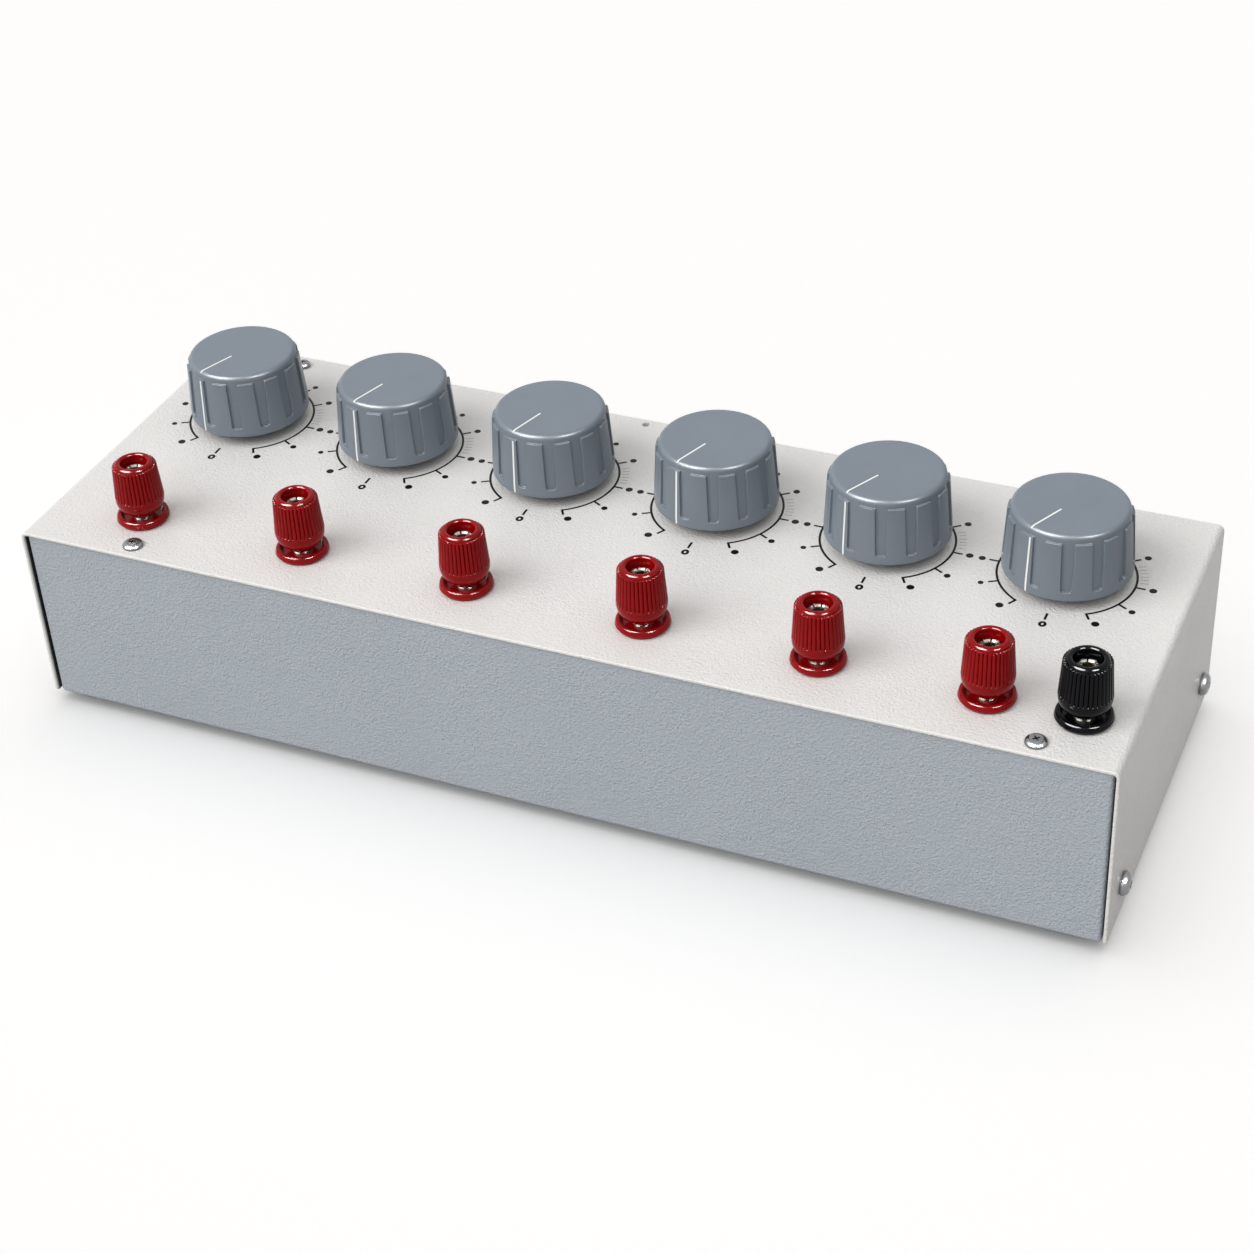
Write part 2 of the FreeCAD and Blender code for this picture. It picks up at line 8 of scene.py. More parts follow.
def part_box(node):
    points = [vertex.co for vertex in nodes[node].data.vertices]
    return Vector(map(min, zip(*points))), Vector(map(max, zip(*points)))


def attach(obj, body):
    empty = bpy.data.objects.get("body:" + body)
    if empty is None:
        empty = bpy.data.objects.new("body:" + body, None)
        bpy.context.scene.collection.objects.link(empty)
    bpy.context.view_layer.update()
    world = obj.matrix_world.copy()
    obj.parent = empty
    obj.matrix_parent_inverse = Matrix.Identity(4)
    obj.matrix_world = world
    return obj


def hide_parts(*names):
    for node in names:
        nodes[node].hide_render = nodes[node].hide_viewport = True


# A decade resistance box: folded steel case, six fluted knobs, seven screw terminals.
# Sizes below are in millimetres and angles in degrees, in the frame of the CAD model.

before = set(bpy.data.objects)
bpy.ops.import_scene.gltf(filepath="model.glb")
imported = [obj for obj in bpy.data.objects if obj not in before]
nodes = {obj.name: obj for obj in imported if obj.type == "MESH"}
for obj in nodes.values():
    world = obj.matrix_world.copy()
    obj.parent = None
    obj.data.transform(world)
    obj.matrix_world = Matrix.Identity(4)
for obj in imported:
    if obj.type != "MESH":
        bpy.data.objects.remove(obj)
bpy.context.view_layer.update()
mm = 0.001
near = 0.01   # places closer than this are the same place
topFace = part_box("top_cover")[1].z / mm   # height of the case's top face
print("frame loaded:", len(nodes), "nodes, top face at", round(topFace, 2))


# Modelling helpers

def choose(obj):
    bpy.ops.object.select_all(action="DESELECT")
    obj.select_set(True)
    bpy.context.view_layer.objects.active = obj


def pick(obj, kind, test):
    # selects the vertices, edges or faces whose middle passes the test
    bpy.ops.mesh.select_mode(type=kind)
    bpy.ops.mesh.select_all(action="DESELECT")
    shape = bmesh.from_edit_mesh(obj.data)
    parts = {"VERT": shape.verts, "EDGE": shape.edges, "FACE": shape.faces}[kind]
    for part in parts:
        corners = [part] if kind == "VERT" else part.verts
        middle = sum((corner.co for corner in corners), Vector()) / len(corners) / mm
        if test(middle):
            part.select_set(True)
    shape.select_flush_mode()
    bmesh.update_edit_mesh(obj.data)


def radiusOf(p):
    return math.hypot(p.x, p.y)


def at(value, level):
    return abs(value - level) < near


def arcPoints(centre, radius, start, end, steps):
    # points of an arc in the outline's plane, its first point left out
    turns = [math.radians(start + (end - start) * k / steps) for k in range(1, steps + 1)]
    return [(centre[0] + radius * math.cos(t), centre[1] + radius * math.sin(t)) for t in turns]


weld = 0.002   # vertices closer than this are merged


def growRings(name, outline, columns):
    # a circle at the outline's first (radius, height), extruded and resized to each next one
    radius, height = outline[0]
    bpy.ops.object.select_all(action="DESELECT")
    bpy.ops.mesh.primitive_circle_add(
        vertices=columns, radius=radius * mm, location=(0, 0, height * mm), fill_type="NOTHING")
    obj = bpy.context.object
    obj.name = name
    bpy.ops.object.transform_apply(location=True)
    bpy.ops.object.mode_set(mode="EDIT")
    bpy.ops.mesh.select_mode(type="VERT")
    bpy.ops.mesh.select_all(action="SELECT")
    for nextRadius, nextHeight in outline[1:]:
        bpy.ops.mesh.extrude_region_move(TRANSFORM_OT_translate={"value": (0, 0, (nextHeight - height) * mm)})
        if nextRadius == 0:
            bpy.ops.mesh.merge(type="CENTER")
        else:
            change = nextRadius / radius
            bpy.ops.transform.resize(value=(change, change, 1), center_override=(0, 0, nextHeight * mm))
            radius = nextRadius
        height = nextHeight
    bpy.ops.mesh.select_all(action="SELECT")
    bpy.ops.mesh.remove_doubles(threshold=weld * mm)
    return obj


def capRing(obj, radius, height):
    # closes an open ring with a face
    pick(obj, "VERT", lambda p: at(radiusOf(p), radius) and at(p.z, height))
    bpy.ops.mesh.edge_face_add()


def faceOutwards():
    bpy.ops.mesh.select_all(action="SELECT")
    bpy.ops.mesh.normals_make_consistent(inside=False)
    bpy.ops.object.mode_set(mode="OBJECT")


def edgeAt(name, place, width, turn):
    # one edge centred on a place and lying across the path that it will be extruded along
    bpy.ops.object.select_all(action="DESELECT")
    bpy.ops.mesh.primitive_plane_add(size=1)
    obj = bpy.context.object
    obj.name = name
    bpy.ops.object.mode_set(mode="EDIT")
    pick(obj, "VERT", lambda p: p.x > 0)
    bpy.ops.mesh.delete(type="VERT")
    bpy.ops.mesh.select_all(action="SELECT")
    bpy.ops.transform.translate(value=(0.5, 0, 0))
    bpy.ops.object.mode_set(mode="OBJECT")
    settle(obj, place, turn, (1, width * mm, 1))
    bpy.ops.object.mode_set(mode="EDIT")
    bpy.ops.mesh.select_all(action="SELECT")
    return obj


def sweep(path):
    # extrudes what is selected along a path of places
    for before, after in zip(path, path[1:]):
        step = (Vector(after) - Vector(before)) * mm
        bpy.ops.mesh.extrude_region_move(TRANSFORM_OT_translate={"value": step})


def settle(obj, place, turn=0.0, scale=(1, 1, 1), tilt=0.0):
    # turns a finished shape about Z, moves it to its place and leaves the object itself at the origin
    choose(obj)
    obj.rotation_euler = (0, math.radians(tilt), math.radians(turn))
    obj.scale = scale
    obj.location = Vector(place) * mm
    bpy.ops.object.transform_apply(location=True, rotation=True, scale=True)


def modify(obj, kind, **settings):
    choose(obj)
    step = obj.modifiers.new(kind.lower(), kind)
    for name, value in settings.items():
        setattr(step, name, value)
    bpy.ops.object.modifier_apply(modifier=step.name)


def carve(obj, cutter):
    modify(obj, "BOOLEAN", operation="DIFFERENCE", solver="EXACT", object=cutter)
    bpy.data.objects.remove(cutter)


def join(parts, name):
    choose(parts[0])
    for part in parts:
        part.select_set(True)
    bpy.ops.object.join()
    bpy.ops.object.transform_apply(location=True, rotation=True, scale=True)
    parts[0].name = name
    return parts[0]


def smooth(obj, angle=35, weighted=True):
    choose(obj)
    bpy.ops.object.shade_smooth_by_angle(angle=math.radians(angle))
    if weighted:
        modify(obj, "WEIGHTED_NORMAL", keep_sharp=True, weight=60)


def copyOf(source, name, place, turn=0.0, tilt=0.0):
    choose(source)
    bpy.ops.object.duplicate(linked=False)
    obj = bpy.context.object
    obj.name = name
    settle(obj, place, turn, tilt=tilt)
    return obj


pieces = []


def dress(obj, body, finish, stoodFor=()):
    pieces.append(obj)
    obj.data.materials.clear()
    obj.data.materials.append(finish)
    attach(obj, body)
    if stoodFor:
        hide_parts(*stoodFor)


# Materials

class Wire:
    # a socket in a finish's tree; sums and products on it add Math nodes
    def __init__(self, finish, socket):
        self.finish, self.socket = finish, socket

    def maths(self, operation, first, second):
        return self.finish.node("ShaderNodeMath", {"operation": operation}, {0: first, 1: second})

    def __add__(self, other):
        return self.maths("ADD", self, other)

    def __radd__(self, other):
        return self.maths("ADD", other, self)

    def __mul__(self, other):
        return self.maths("MULTIPLY", self, other)

    def __rmul__(self, other):
        return self.maths("MULTIPLY", other, self)


class Finish:
    # a material on the Principled shader; what never varies is set on the shader's own sockets
    def __init__(self, name, **fixed):
        self.material = bpy.data.materials.new(name)
        self.material.use_nodes = True
        self.tree = self.material.node_tree
        self.shader = self.tree.nodes["Principled BSDF"]
        for socket, value in fixed.items():
            self.shader.inputs[socket.replace("_", " ")].default_value = value
        self.place = self.node("ShaderNodeTexCoord", {}, {}, "Object")

    def node(self, kind, settings, sockets, out=0):
        made = self.tree.nodes.new(kind)
        for name, value in settings.items():
            setattr(made, name, value)
        for name, value in sockets.items():
            self.link(made.inputs[name], value)
        return Wire(self, made.outputs[out])

    def link(self, socket, value):
        if isinstance(value, Wire):
            self.tree.links.new(value.socket, socket)
        else:
            socket.default_value = value

    def along(self, axis):
        # the place along X, Y or Z in metres
        return self.node("ShaderNodeSeparateXYZ", {}, {0: self.place}, axis)

    def apart(self, axis):
        # the distance from the part's middle along X or Y
        return self.node("ShaderNodeMath", {"operation": "ABSOLUTE"}, {0: self.along(axis)})

    def feed(self, socket, value):
        self.link(self.shader.inputs[socket], value)

    def noise(self, scale, detail, rough, distortion=0.0, vector=None):
        return self.node("ShaderNodeTexNoise", {}, {
            "Vector": vector or self.place, "Scale": scale, "Detail": detail, "Roughness": rough,
            "Distortion": distortion})

    def cells(self, scale, softness):
        return self.node("ShaderNodeTexVoronoi", {"feature": "SMOOTH_F1"}, {
            "Vector": self.place, "Scale": scale, "Smoothness": softness})

    def spread(self, value, low, high):
        # stretches a value between low and high to 0 .. 1
        return self.node("ShaderNodeMapRange", {}, {0: value, 1: low, 2: high, 3: 0.0, 4: 1.0})

    def blend(self, factor, first, second):
        return self.node("ShaderNodeMix", {"data_type": "RGBA"}, {0: factor, 6: first, 7: second}, 2)

    def bump(self, height, strength, distance):
        return self.node("ShaderNodeBump", {}, {"Height": height, "Strength": strength, "Distance": distance})


def shade(red, green, blue):
    # a colour as a paint chart gives it, 0 .. 255, made linear
    def linear(level):
        value = level / 255
        return value / 12.92 if value <= 0.04045 else ((value + 0.055) / 1.055) ** 2.4

    return (linear(red), linear(green), linear(blue), 1)


def wrinklePaint(name, tone, hollowShadeAndCloud, folded, grain, depth, gloss, cloudy):
    # baked powder coat with a fine leathery grain and faint cloudiness; the hollows of the grain are darkened in
    # the colour as painted shade
    # a folded sheet also has a painted highlight, a paler tone, along its cut edges and painted shade, a dark
    # tone, deep inside the fold
    paint = Finish(name, IOR=1.5, Specular_IOR_Level=0.3)
    leather = paint.noise(grain, detail=2, rough=0.55, distortion=0.5)
    pores = paint.cells(grain * 0.8, softness=0.35)
    patches = paint.spread(paint.noise(grain * 0.05, detail=2, rough=0.5), 0.3, 0.7)
    height = leather * (patches * 0.6 + 0.7) + pores * 0.3
    cloud = paint.spread(paint.noise(14, detail=4, rough=0.6), 0.3, 0.75)
    # painted shade: the colour darkens where the grain's height is low
    hollows = paint.spread(height, 0.85, 0.5)
    colour = paint.blend(hollows * 0.25 + cloud * cloudy, tone, hollowShadeAndCloud)
    if folded:
        end, side = paint.apart(0), paint.apart(1)
        # painted highlight: a paler band along the cut edges of the sheet
        colour = paint.blend(paint.spread(side, *folded["cut"]), colour, folded["edgeHighlightTone"])
        # painted shade: the inside of each fold, behind the cut edge, is coloured dark where the narrow gap to the
        # base lies in shade
        within = paint.spread(end, *folded["end"]) * paint.spread(paint.along(2), *folded["top"])
        colour = paint.blend(within * paint.spread(side, *folded["reach"]), colour, folded["foldShadeTone"])
    paint.feed("Base Color", colour)
    paint.feed("Roughness", gloss + 0.08 * cloud + 0.06 * hollows)
    paint.feed("Normal", paint.bump(height, strength=1.0, distance=depth))
    return paint.material


def satinPlastic(name, tone, dusty, gloss):
    # moulded plastic with a spark-eroded grain, a little rubbed and dusty
    plastic = Finish(name, IOR=1.47, Specular_IOR_Level=0.15)
    grain = plastic.noise(2600, detail=2, rough=0.6)
    haze = plastic.spread(plastic.noise(60, detail=4, rough=0.6), 0.1, 0.9)
    specks = plastic.spread(plastic.noise(900, detail=2, rough=0.5), 0.68, 0.8)
    plastic.feed("Base Color", plastic.blend(haze * 0.6 + specks * 0.3, tone, dusty))
    plastic.feed("Roughness", gloss + 0.12 * haze)
    plastic.feed("Normal", plastic.bump(grain, strength=0.25, distance=0.06 * mm))
    return plastic.material


def glossMoulding(name, tone, deep, gloss):
    # glossy thermoset with faint darker flow marks and fine handling scuffs
    plastic = Finish(name, IOR=1.5, Specular_IOR_Level=0.12)
    flow = plastic.noise(220, detail=3, rough=0.55, distortion=0.8)
    scuffs = plastic.spread(plastic.noise(1400, detail=3, rough=0.7, distortion=1.5), 0.62, 0.75)
    plastic.feed("Base Color", plastic.blend(plastic.spread(flow, 0.35, 0.75) * 0.4, tone, deep))
    plastic.feed("Roughness", gloss + 0.1 * scuffs + 0.03 * plastic.spread(flow, 0.3, 0.7))
    plastic.feed("Normal", plastic.bump(flow, strength=0.06, distance=0.2 * mm))
    return plastic.material


def metal(name, tone, worn, gloss, scratch):
    # plated metal with fine wipe marks and a slight tarnish
    plate = Finish(name, Metallic=1.0)
    stretched = plate.node("ShaderNodeMapping", {}, {"Vector": plate.place, "Scale": (1, 1, 6)})
    lines = plate.noise(1500, detail=3, rough=0.6, distortion=0.2, vector=stretched)
    tarnish = plate.noise(300, detail=3, rough=0.6)
    plate.feed("Base Color", plate.blend(plate.spread(tarnish, 0.45, 0.8), tone, worn))
    plate.feed("Roughness", gloss + 0.12 * plate.spread(tarnish, 0.4, 0.8))
    plate.feed("Normal", plate.bump(lines, strength=scratch, distance=0.05 * mm))
    return plate.material


def ink(name, tone, thin, cover):
    # screen-printed ink, a little uneven in its cover
    film = Finish(name, Roughness=0.42, Specular_IOR_Level=0.15)
    patchy = film.noise(1800, detail=3, rough=0.6)
    film.feed("Base Color", film.blend(film.spread(patchy, cover, cover + 0.25), tone, thin))
    film.feed("Normal", film.bump(patchy, strength=0.1, distance=0.03 * mm))
    return film.material


# the cover's painted highlight at its cut edges and its painted shade inside the folds; where each tone starts and
# where it is full, in metres along X (end), Y (cut, reach) and Z (top)
coverFold = {"edgeHighlightTone": shade(234, 232, 227), "cut": (0.0672, 0.0679), "foldShadeTone": shade(52, 54, 56),
             "end": (0.18915, 0.1889), "top": (0.0712, 0.071), "reach": (0.0675, 0.0669)}
# the second tone of each paint is its painted shade in the grain's hollows, also used for its random cloudiness
coverPaint = wrinklePaint("cover wrinkle paint", shade(230, 228, 226), shade(213, 211, 206), coverFold,
                          grain=1150, depth=0.36 * mm, gloss=0.32, cloudy=0.3)
basePaint = wrinklePaint("base wrinkle paint", shade(185, 192, 198), shade(160, 167, 173), None,
                         grain=1350, depth=0.5 * mm, gloss=0.34, cloudy=0.2)
knobPlastic = satinPlastic("knob plastic", shade(120, 129, 138), shade(130, 139, 148), 0.26)
redMoulding = glossMoulding("red moulding", shade(146, 4, 9), shade(110, 2, 6), 0.075)
blackMoulding = glossMoulding("black moulding", shade(9, 10, 14), shade(6, 7, 10), 0.075)
bootRubber = satinPlastic("foot rubber", shade(34, 34, 36), shade(52, 51, 50), 0.6)
socketChrome = metal("socket chrome", shade(200, 196, 186), shade(158, 153, 142), 0.24, 0.15)
screwChrome = metal("screw chrome", shade(136, 137, 139), shade(92, 93, 95), 0.2, 0.25)
zincSteel = metal("zinc plate", shade(186, 188, 190), shade(150, 150, 146), 0.3, 0.3)
brassMetal = metal("switch brass", shade(200, 168, 98), shade(160, 128, 70), 0.28, 0.3)
tinnedMetal = metal("tinned wire", shade(196, 197, 198), shade(158, 158, 156), 0.32, 0.2)
waferBoard = satinPlastic("wafer board", shade(126, 84, 48), shade(104, 66, 36), 0.45)
resistorLacquer = satinPlastic("resistor lacquer", shade(60, 92, 78), shade(44, 74, 62), 0.3)
dialInk = ink("dial ink", shade(10, 10, 11), shade(30, 30, 30), 0.62)
fadedInk = ink("faded ink", shade(150, 148, 144), shade(190, 187, 182), 0.42)
pointerPaint = ink("pointer paint", shade(243, 243, 241), shade(226, 226, 223), 0.6)
print("finishes made")

# CAD nodes that stay: the works inside the case and the small parts under the knobs
decades = 6
turningNodes = ["%s_%d" % (kind, k) for k in range(1, decades + 1) for kind in ("switch_shaft", "knob_grub_screw")]
keptFinishes = (
    (zincSteel, ["bush_nuts", "bush_washers", "switch_housings", "tie_bolts", "wafer_spacers", "clinch_nuts",
                 "foot_nuts", "foot_screws", "post_washers", "post_nuts"] + turningNodes),
    (brassMetal, ["solder_tags", "wafer_lugs"]),
    (tinnedMetal, ["hook_up_wires"]),
    (waferBoard, ["switch_wafers"]),
    (resistorLacquer, ["resistors"]),
    (blackMoulding, ["post_bushes"]))
for finish, names in keptFinishes:
    for nodeName in names:
        nodes[nodeName].data.materials.clear()
        nodes[nodeName].data.materials.append(finish)

# Case cover: one sheet folded down at both ends
cover = {
    "halfLength": 190.0, "halfDepth": 68.0, "low": 4.6, "bend": 2.4, "sheet": 1.2,
    "cornerRound": 1.2, "edgeRound": 0.4,
    "knobX": [-152.1 + k * 60.2 for k in range(decades)], "knobY": 24.1, "bushHole": 5.15,
    "postX": (-154.1, -92.0, -31.1, 31.1, 89.8, 143.6, 173.3), "postY": -46.1, "postHole": 4.55,
    "frontScrews": ((-148.4, -62.1), (163.2, -62.1)), "rearScrews": ((-152.0, 61.8), (150.0, 61.8)),
    "frontHole": 2.0, "rearHole": 1.75, "sideHole": 2.25,
    "spareHole": (-14.7, 64.6, 1.35), "sideScrews": ((-52.9, 17.8), (52.9, 17.8)),
    "drill": 8, "sideDrill": (186, 194)}


def holeCutter(places, middle, depth):
    # upright cylinders (x, y, radius) through a sheet, as one cutter
    cutters = []
    for x, y, radius in places:
        bpy.ops.object.select_all(action="DESELECT")
        bpy.ops.mesh.primitive_cylinder_add(vertices=48, radius=radius * mm, depth=depth * mm,
                                            location=(x * mm, y * mm, middle * mm))
        cutters.append(bpy.context.object)
    return join(cutters, "cutter")


def sideCutter(places, radius, start, end):
    # level cylinders (y, z) through both ends, from one distance along X to another
    cutters = []
    for side in (-1, 1):
        for y, z in places:
            bpy.ops.object.select_all(action="DESELECT")
            bpy.ops.mesh.primitive_cylinder_add(
                vertices=32, radius=radius * mm, depth=(end - start) * mm, rotation=(0, math.pi / 2, 0),
                location=(side * (start + end) / 2 * mm, y * mm, z * mm))
            cutters.append(bpy.context.object)
    return join(cutters, "cutter")


topHoles = [(x, cover["knobY"], cover["bushHole"]) for x in cover["knobX"]]
topHoles += [(x, cover["postY"], cover["postHole"]) for x in cover["postX"]]
screwHoles = [(x, y, cover["frontHole"]) for x, y in cover["frontScrews"]]
screwHoles += [(x, y, cover["rearHole"]) for x, y in cover["rearScrews"]]


def makeCover():
    x, bend = cover["halfLength"], cover["bend"]
    profile = [(-x, cover["low"]), (-x, topFace - bend)]
    profile += arcPoints((-x + bend, topFace - bend), bend, 180, 90, 8)
    profile.append((x - bend, topFace))
    profile += arcPoints((x - bend, topFace - bend), bend, 90, 0, 8) + [(x, cover["low"])]
    path = [(px, 0, pz) for px, pz in profile]
    sheet = edgeAt("cover_sheet", path[0], 2 * cover["halfDepth"], 0)
    sweep(path)
    faceOutwards()
    modify(sheet, "SOLIDIFY", thickness=cover["sheet"] * mm, offset=-1, use_even_offset=True)
    bpy.ops.object.mode_set(mode="EDIT")
    pick(sheet, "EDGE", lambda p: at(p.z, cover["low"]) and at(abs(p.y), cover["halfDepth"])
         and x - cover["sheet"] < abs(p.x) < x)
    bpy.ops.mesh.bevel(offset=cover["cornerRound"] * mm, segments=5, affect="EDGES")
    faceOutwards()
    modify(sheet, "BEVEL", width=cover["edgeRound"] * mm, segments=3, limit_method="ANGLE",
           angle_limit=math.radians(50))
    carve(sheet, holeCutter(topHoles + screwHoles + [cover["spareHole"]], topFace, cover["drill"]))
    carve(sheet, sideCutter(cover["sideScrews"], cover["sideHole"], *cover["sideDrill"]))
    smooth(sheet)
    return sheet


dress(makeCover(), "root", coverPaint, ("top_cover",))
print("cover made")

# Base: folded tray with flanges along its top edges and returns at its ends
base = {"halfLength": 188.1, "halfDepth": 67.1, "low": 4.0, "sheet": 1.2, "bend": 1.4, "flange": 12.0,
        "returnDepth": 22.0, "footX": 176.0, "footY": 56.0, "footHole": 1.75, "drill": 6,
        "sideDrill": (184, 190)}


def makeBase():
    x, y, low, high = base["halfLength"], base["halfDepth"], base["low"], topFace - cover["sheet"]
    bpy.ops.object.select_all(action="DESELECT")
    bpy.ops.mesh.primitive_cube_add(size=1, location=(0, 0, (low + high) / 2 * mm))
    tray = bpy.context.object
    tray.name = "base_tray"
    tray.scale = (2 * x * mm, 2 * y * mm, (high - low) * mm)
    bpy.ops.object.transform_apply(location=True, scale=True)
    bpy.ops.object.mode_set(mode="EDIT")
    bpy.ops.mesh.select_all(action="SELECT")
    bpy.ops.mesh.bevel(offset=base["bend"] * mm, segments=6, affect="EDGES")
    flangeY, returnY = y - base["flange"], y - base["returnDepth"]
    cuts = [((0, side * level, 0), (0, 1, 0)) for side in (-1, 1) for level in (flangeY, returnY)]
    cuts += [((side * (x - base["bend"]), 0, 0), (1, 0, 0)) for side in (-1, 1)]
    cuts.append(((0, 0, high - base["bend"]), (0, 0, 1)))
    for place, normal in cuts:
        bpy.ops.mesh.select_all(action="SELECT")
        bpy.ops.mesh.bisect(plane_co=Vector(place) * mm, plane_no=normal)
    pick(tray, "FACE", lambda p: (abs(p.y) < flangeY and p.z > high - base["bend"])
         or (abs(p.y) < returnY and abs(p.x) > x - base["bend"]))
    bpy.ops.mesh.delete(type="FACE")
    faceOutwards()
    modify(tray, "SOLIDIFY", thickness=base["sheet"] * mm, offset=-1, use_even_offset=True)
    carve(tray, holeCutter(screwHoles, high, base["drill"]))
    feet = [(sx * base["footX"], sy * base["footY"], base["footHole"]) for sx in (-1, 1) for sy in (-1, 1)]
    carve(tray, holeCutter(feet, low, base["drill"]))
    carve(tray, sideCutter(cover["sideScrews"], cover["sideHole"], *base["sideDrill"]))
    smooth(tray)
    return tray


dress(makeBase(), "root", basePaint, ("base_chassis",))
print("base made")

# Screws: pan heads with a cross recess, whose sizes are shares of the head's
panScrew = {
    "columns": 40, "rimShare": 0.3, "crownShare": 0.45, "recessDepth": 0.6, "recessWidth": 0.25,
    "recessSpan": 1.05, "recessTaper": 0.5, "cutterHeight": 3, "offColumn": 1, "reach": 6.5,
    "rimLeast": 0.2, "underside": 0.3, "underEdge": 0.1,
    "front": {"shank": 1.75, "head": 3.5, "height": 1.7, "undercut": 0.12},
    "side": {"shank": 2.0, "head": 4.05, "height": 2.9, "undercut": 0.45},
    "rear": {"shank": 1.5, "head": 2.75, "height": 1.9, "undercut": 0.15}}


def crossCutter(width, span, depth, crown, taper):
    # a square post whose four sides are extruded to a cross, drawn in towards its lower end
    bpy.ops.object.select_all(action="DESELECT")
    tall = panScrew["cutterHeight"]
    bpy.ops.mesh.primitive_cube_add(size=1, location=(0, 0, (crown - depth + tall / 2) * mm))
    cutter = bpy.context.object
    cutter.scale = (width * mm, width * mm, tall * mm)
    bpy.ops.object.transform_apply(location=True, scale=True)
    reach = (span - width) / 2
    for dx, dy in ((1, 0), (-1, 0), (0, 1), (0, -1)):
        bpy.ops.object.mode_set(mode="EDIT")
        pick(cutter, "FACE", lambda p: at(p.x, dx * width / 2) and at(p.y, dy * width / 2))
        step = (dx * reach * mm, dy * reach * mm, 0)
        bpy.ops.mesh.extrude_region_move(TRANSFORM_OT_translate={"value": step})
        bpy.ops.object.mode_set(mode="OBJECT")
    bpy.ops.object.mode_set(mode="EDIT")
    pick(cutter, "VERT", lambda p: p.z < crown)
    bpy.ops.transform.resize(value=(taper, taper, 1), center_override=(0, 0, (crown - depth) * mm))
    faceOutwards()
    # turned a little off the head's columns, for a clean cut
    settle(cutter, (0, 0, 0), 180 / panScrew["columns"] + panScrew["offColumn"])
    return cutter


def makePanScrew(name):
    sizes = panScrew[name]
    shank, head, height, undercut = (sizes[key] for key in ("shank", "head", "height", "undercut"))
    reach = panScrew["reach"]
    rim = max(height * panScrew["rimShare"], undercut + panScrew["rimLeast"])
    crownRadius = head * panScrew["crownShare"]
    dome = [(head - (head - crownRadius) * (1 - math.cos(math.radians(a))),
             rim + (height - rim) * math.sin(math.radians(a))) for a in range(15, 91, 15)]
    under = head - panScrew["underside"]
    outline = [(shank, -reach), (shank, 0), (under, 0), (under, undercut),
               (head, undercut + panScrew["underEdge"]), (head, rim)] + dome + [(0, height)]
    screw = growRings(name, outline, panScrew["columns"])
    capRing(screw, shank, -reach)
    faceOutwards()
    carve(screw, crossCutter(panScrew["recessWidth"] * head, panScrew["recessSpan"] * head,
                             panScrew["recessDepth"] * height, height, panScrew["recessTaper"]))
    smooth(screw, 40)
    return screw


for kind, places, turn in (("front", cover["frontScrews"], 17), ("rear", cover["rearScrews"], 25)):
    screw = makePanScrew(kind)
    for number, (x, y) in enumerate(places, 1):
        obj = copyOf(screw, "%s_top_screw_%d" % (kind, number), (x, y, topFace), turn * number)
        dress(obj, "root", screwChrome, (kind + "_top_screws",))
    bpy.data.objects.remove(screw)
screw = makePanScrew("side")
for side, end in ((-1, "left"), (1, "right")):
    for number, (y, z) in enumerate(cover["sideScrews"], 1):
        place = (side * cover["halfLength"], y, z)
        obj = copyOf(screw, "side_screw_%s_%d" % (end, number), place, tilt=90 * side)
        dress(obj, "root", screwChrome, ("side_screws",))
bpy.data.objects.remove(screw)

# Feet: rubber buttons under the base
foot = {"radius": 6.0, "taper": 0.6, "height": 4.0, "recess": 3.4, "recessDepth": 2.4, "recessEdge": 0.2,
        "bore": 1.75, "round": 0.35}


def makeFoot():
    low, edge = foot["radius"] - foot["taper"], foot["recessEdge"]
    outline = [(foot["bore"], foot["recessDepth"]), (foot["recess"], foot["recessDepth"]),
               (foot["recess"], edge), (foot["recess"] + edge, 0), (low - foot["round"], 0)]
    outline += arcPoints((low - foot["round"], foot["round"]), foot["round"], -90, 0, 4)
    outline += [(foot["radius"], foot["height"]), (foot["bore"], foot["height"]),
                (foot["bore"], foot["recessDepth"])]
    button = growRings("foot_button", outline, 48)
    faceOutwards()
    smooth(button, 40)
    return button


button = makeFoot()
for number, (sx, sy) in enumerate(((-1, -1), (-1, 1), (1, -1), (1, 1)), 1):
    obj = copyOf(button, "rubber_foot_%d" % number, (sx * base["footX"], sy * base["footY"], 0))
    dress(obj, "root", bootRubber, ("rubber_feet",))
bpy.data.objects.remove(button)
print("screws and feet made")

# Knobs, heights over the case's top face, with the pointer to the front
knob = {
    "flutes": 13, "columnsPerPad": 10, "fluteColumns": 4, "fluteStart": 6.0, "bottom": 4.2, "crown": 27.2,
    "footRadius": 21.0, "skirt": 7.2, "padTop": 24.5, "padTopRadius": 19.9, "shoulderRadius": 19.05,
    "sideTop": 25.4, "sideTopRadius": 19.0, "faceRadius": 17.3, "wall": 2.4, "ceiling": 24.2,
    "hubRadius": 7.0, "hubBottom": 8.7, "bore": 3.02, "fluteFloor": 0.9572, "cornerRound": 1.1,
    "lowTaper": 0.7, "highTaper": 0.45, "edgeRound": 0.26, "weld": 0.02, "faceRing": 0.6,
    "grubHeight": 13.2, "grubHole": 2.05, "grubFrom": -1, "accessHole": 2.4, "accessFrom": 8.0, "accessTo": 23,
    "turns": (-20.9, -17.7, -16.8, -20.3, -27.3, -26.0)}
pointer = {"topWidth": 0.56, "sideWidth": 0.66, "thick": 0.05, "lift": 0.02, "inner": 4.7, "sideHigh": 24.2,
           "shoulderAngles": range(0, 50, 7), "topTurn": 0.0, "sideTurn": 2.3}
front, back = 270, 90   # the ways to the front and the back, as angles from +X
columnNear = 0.1        # columns closer than this are the same column


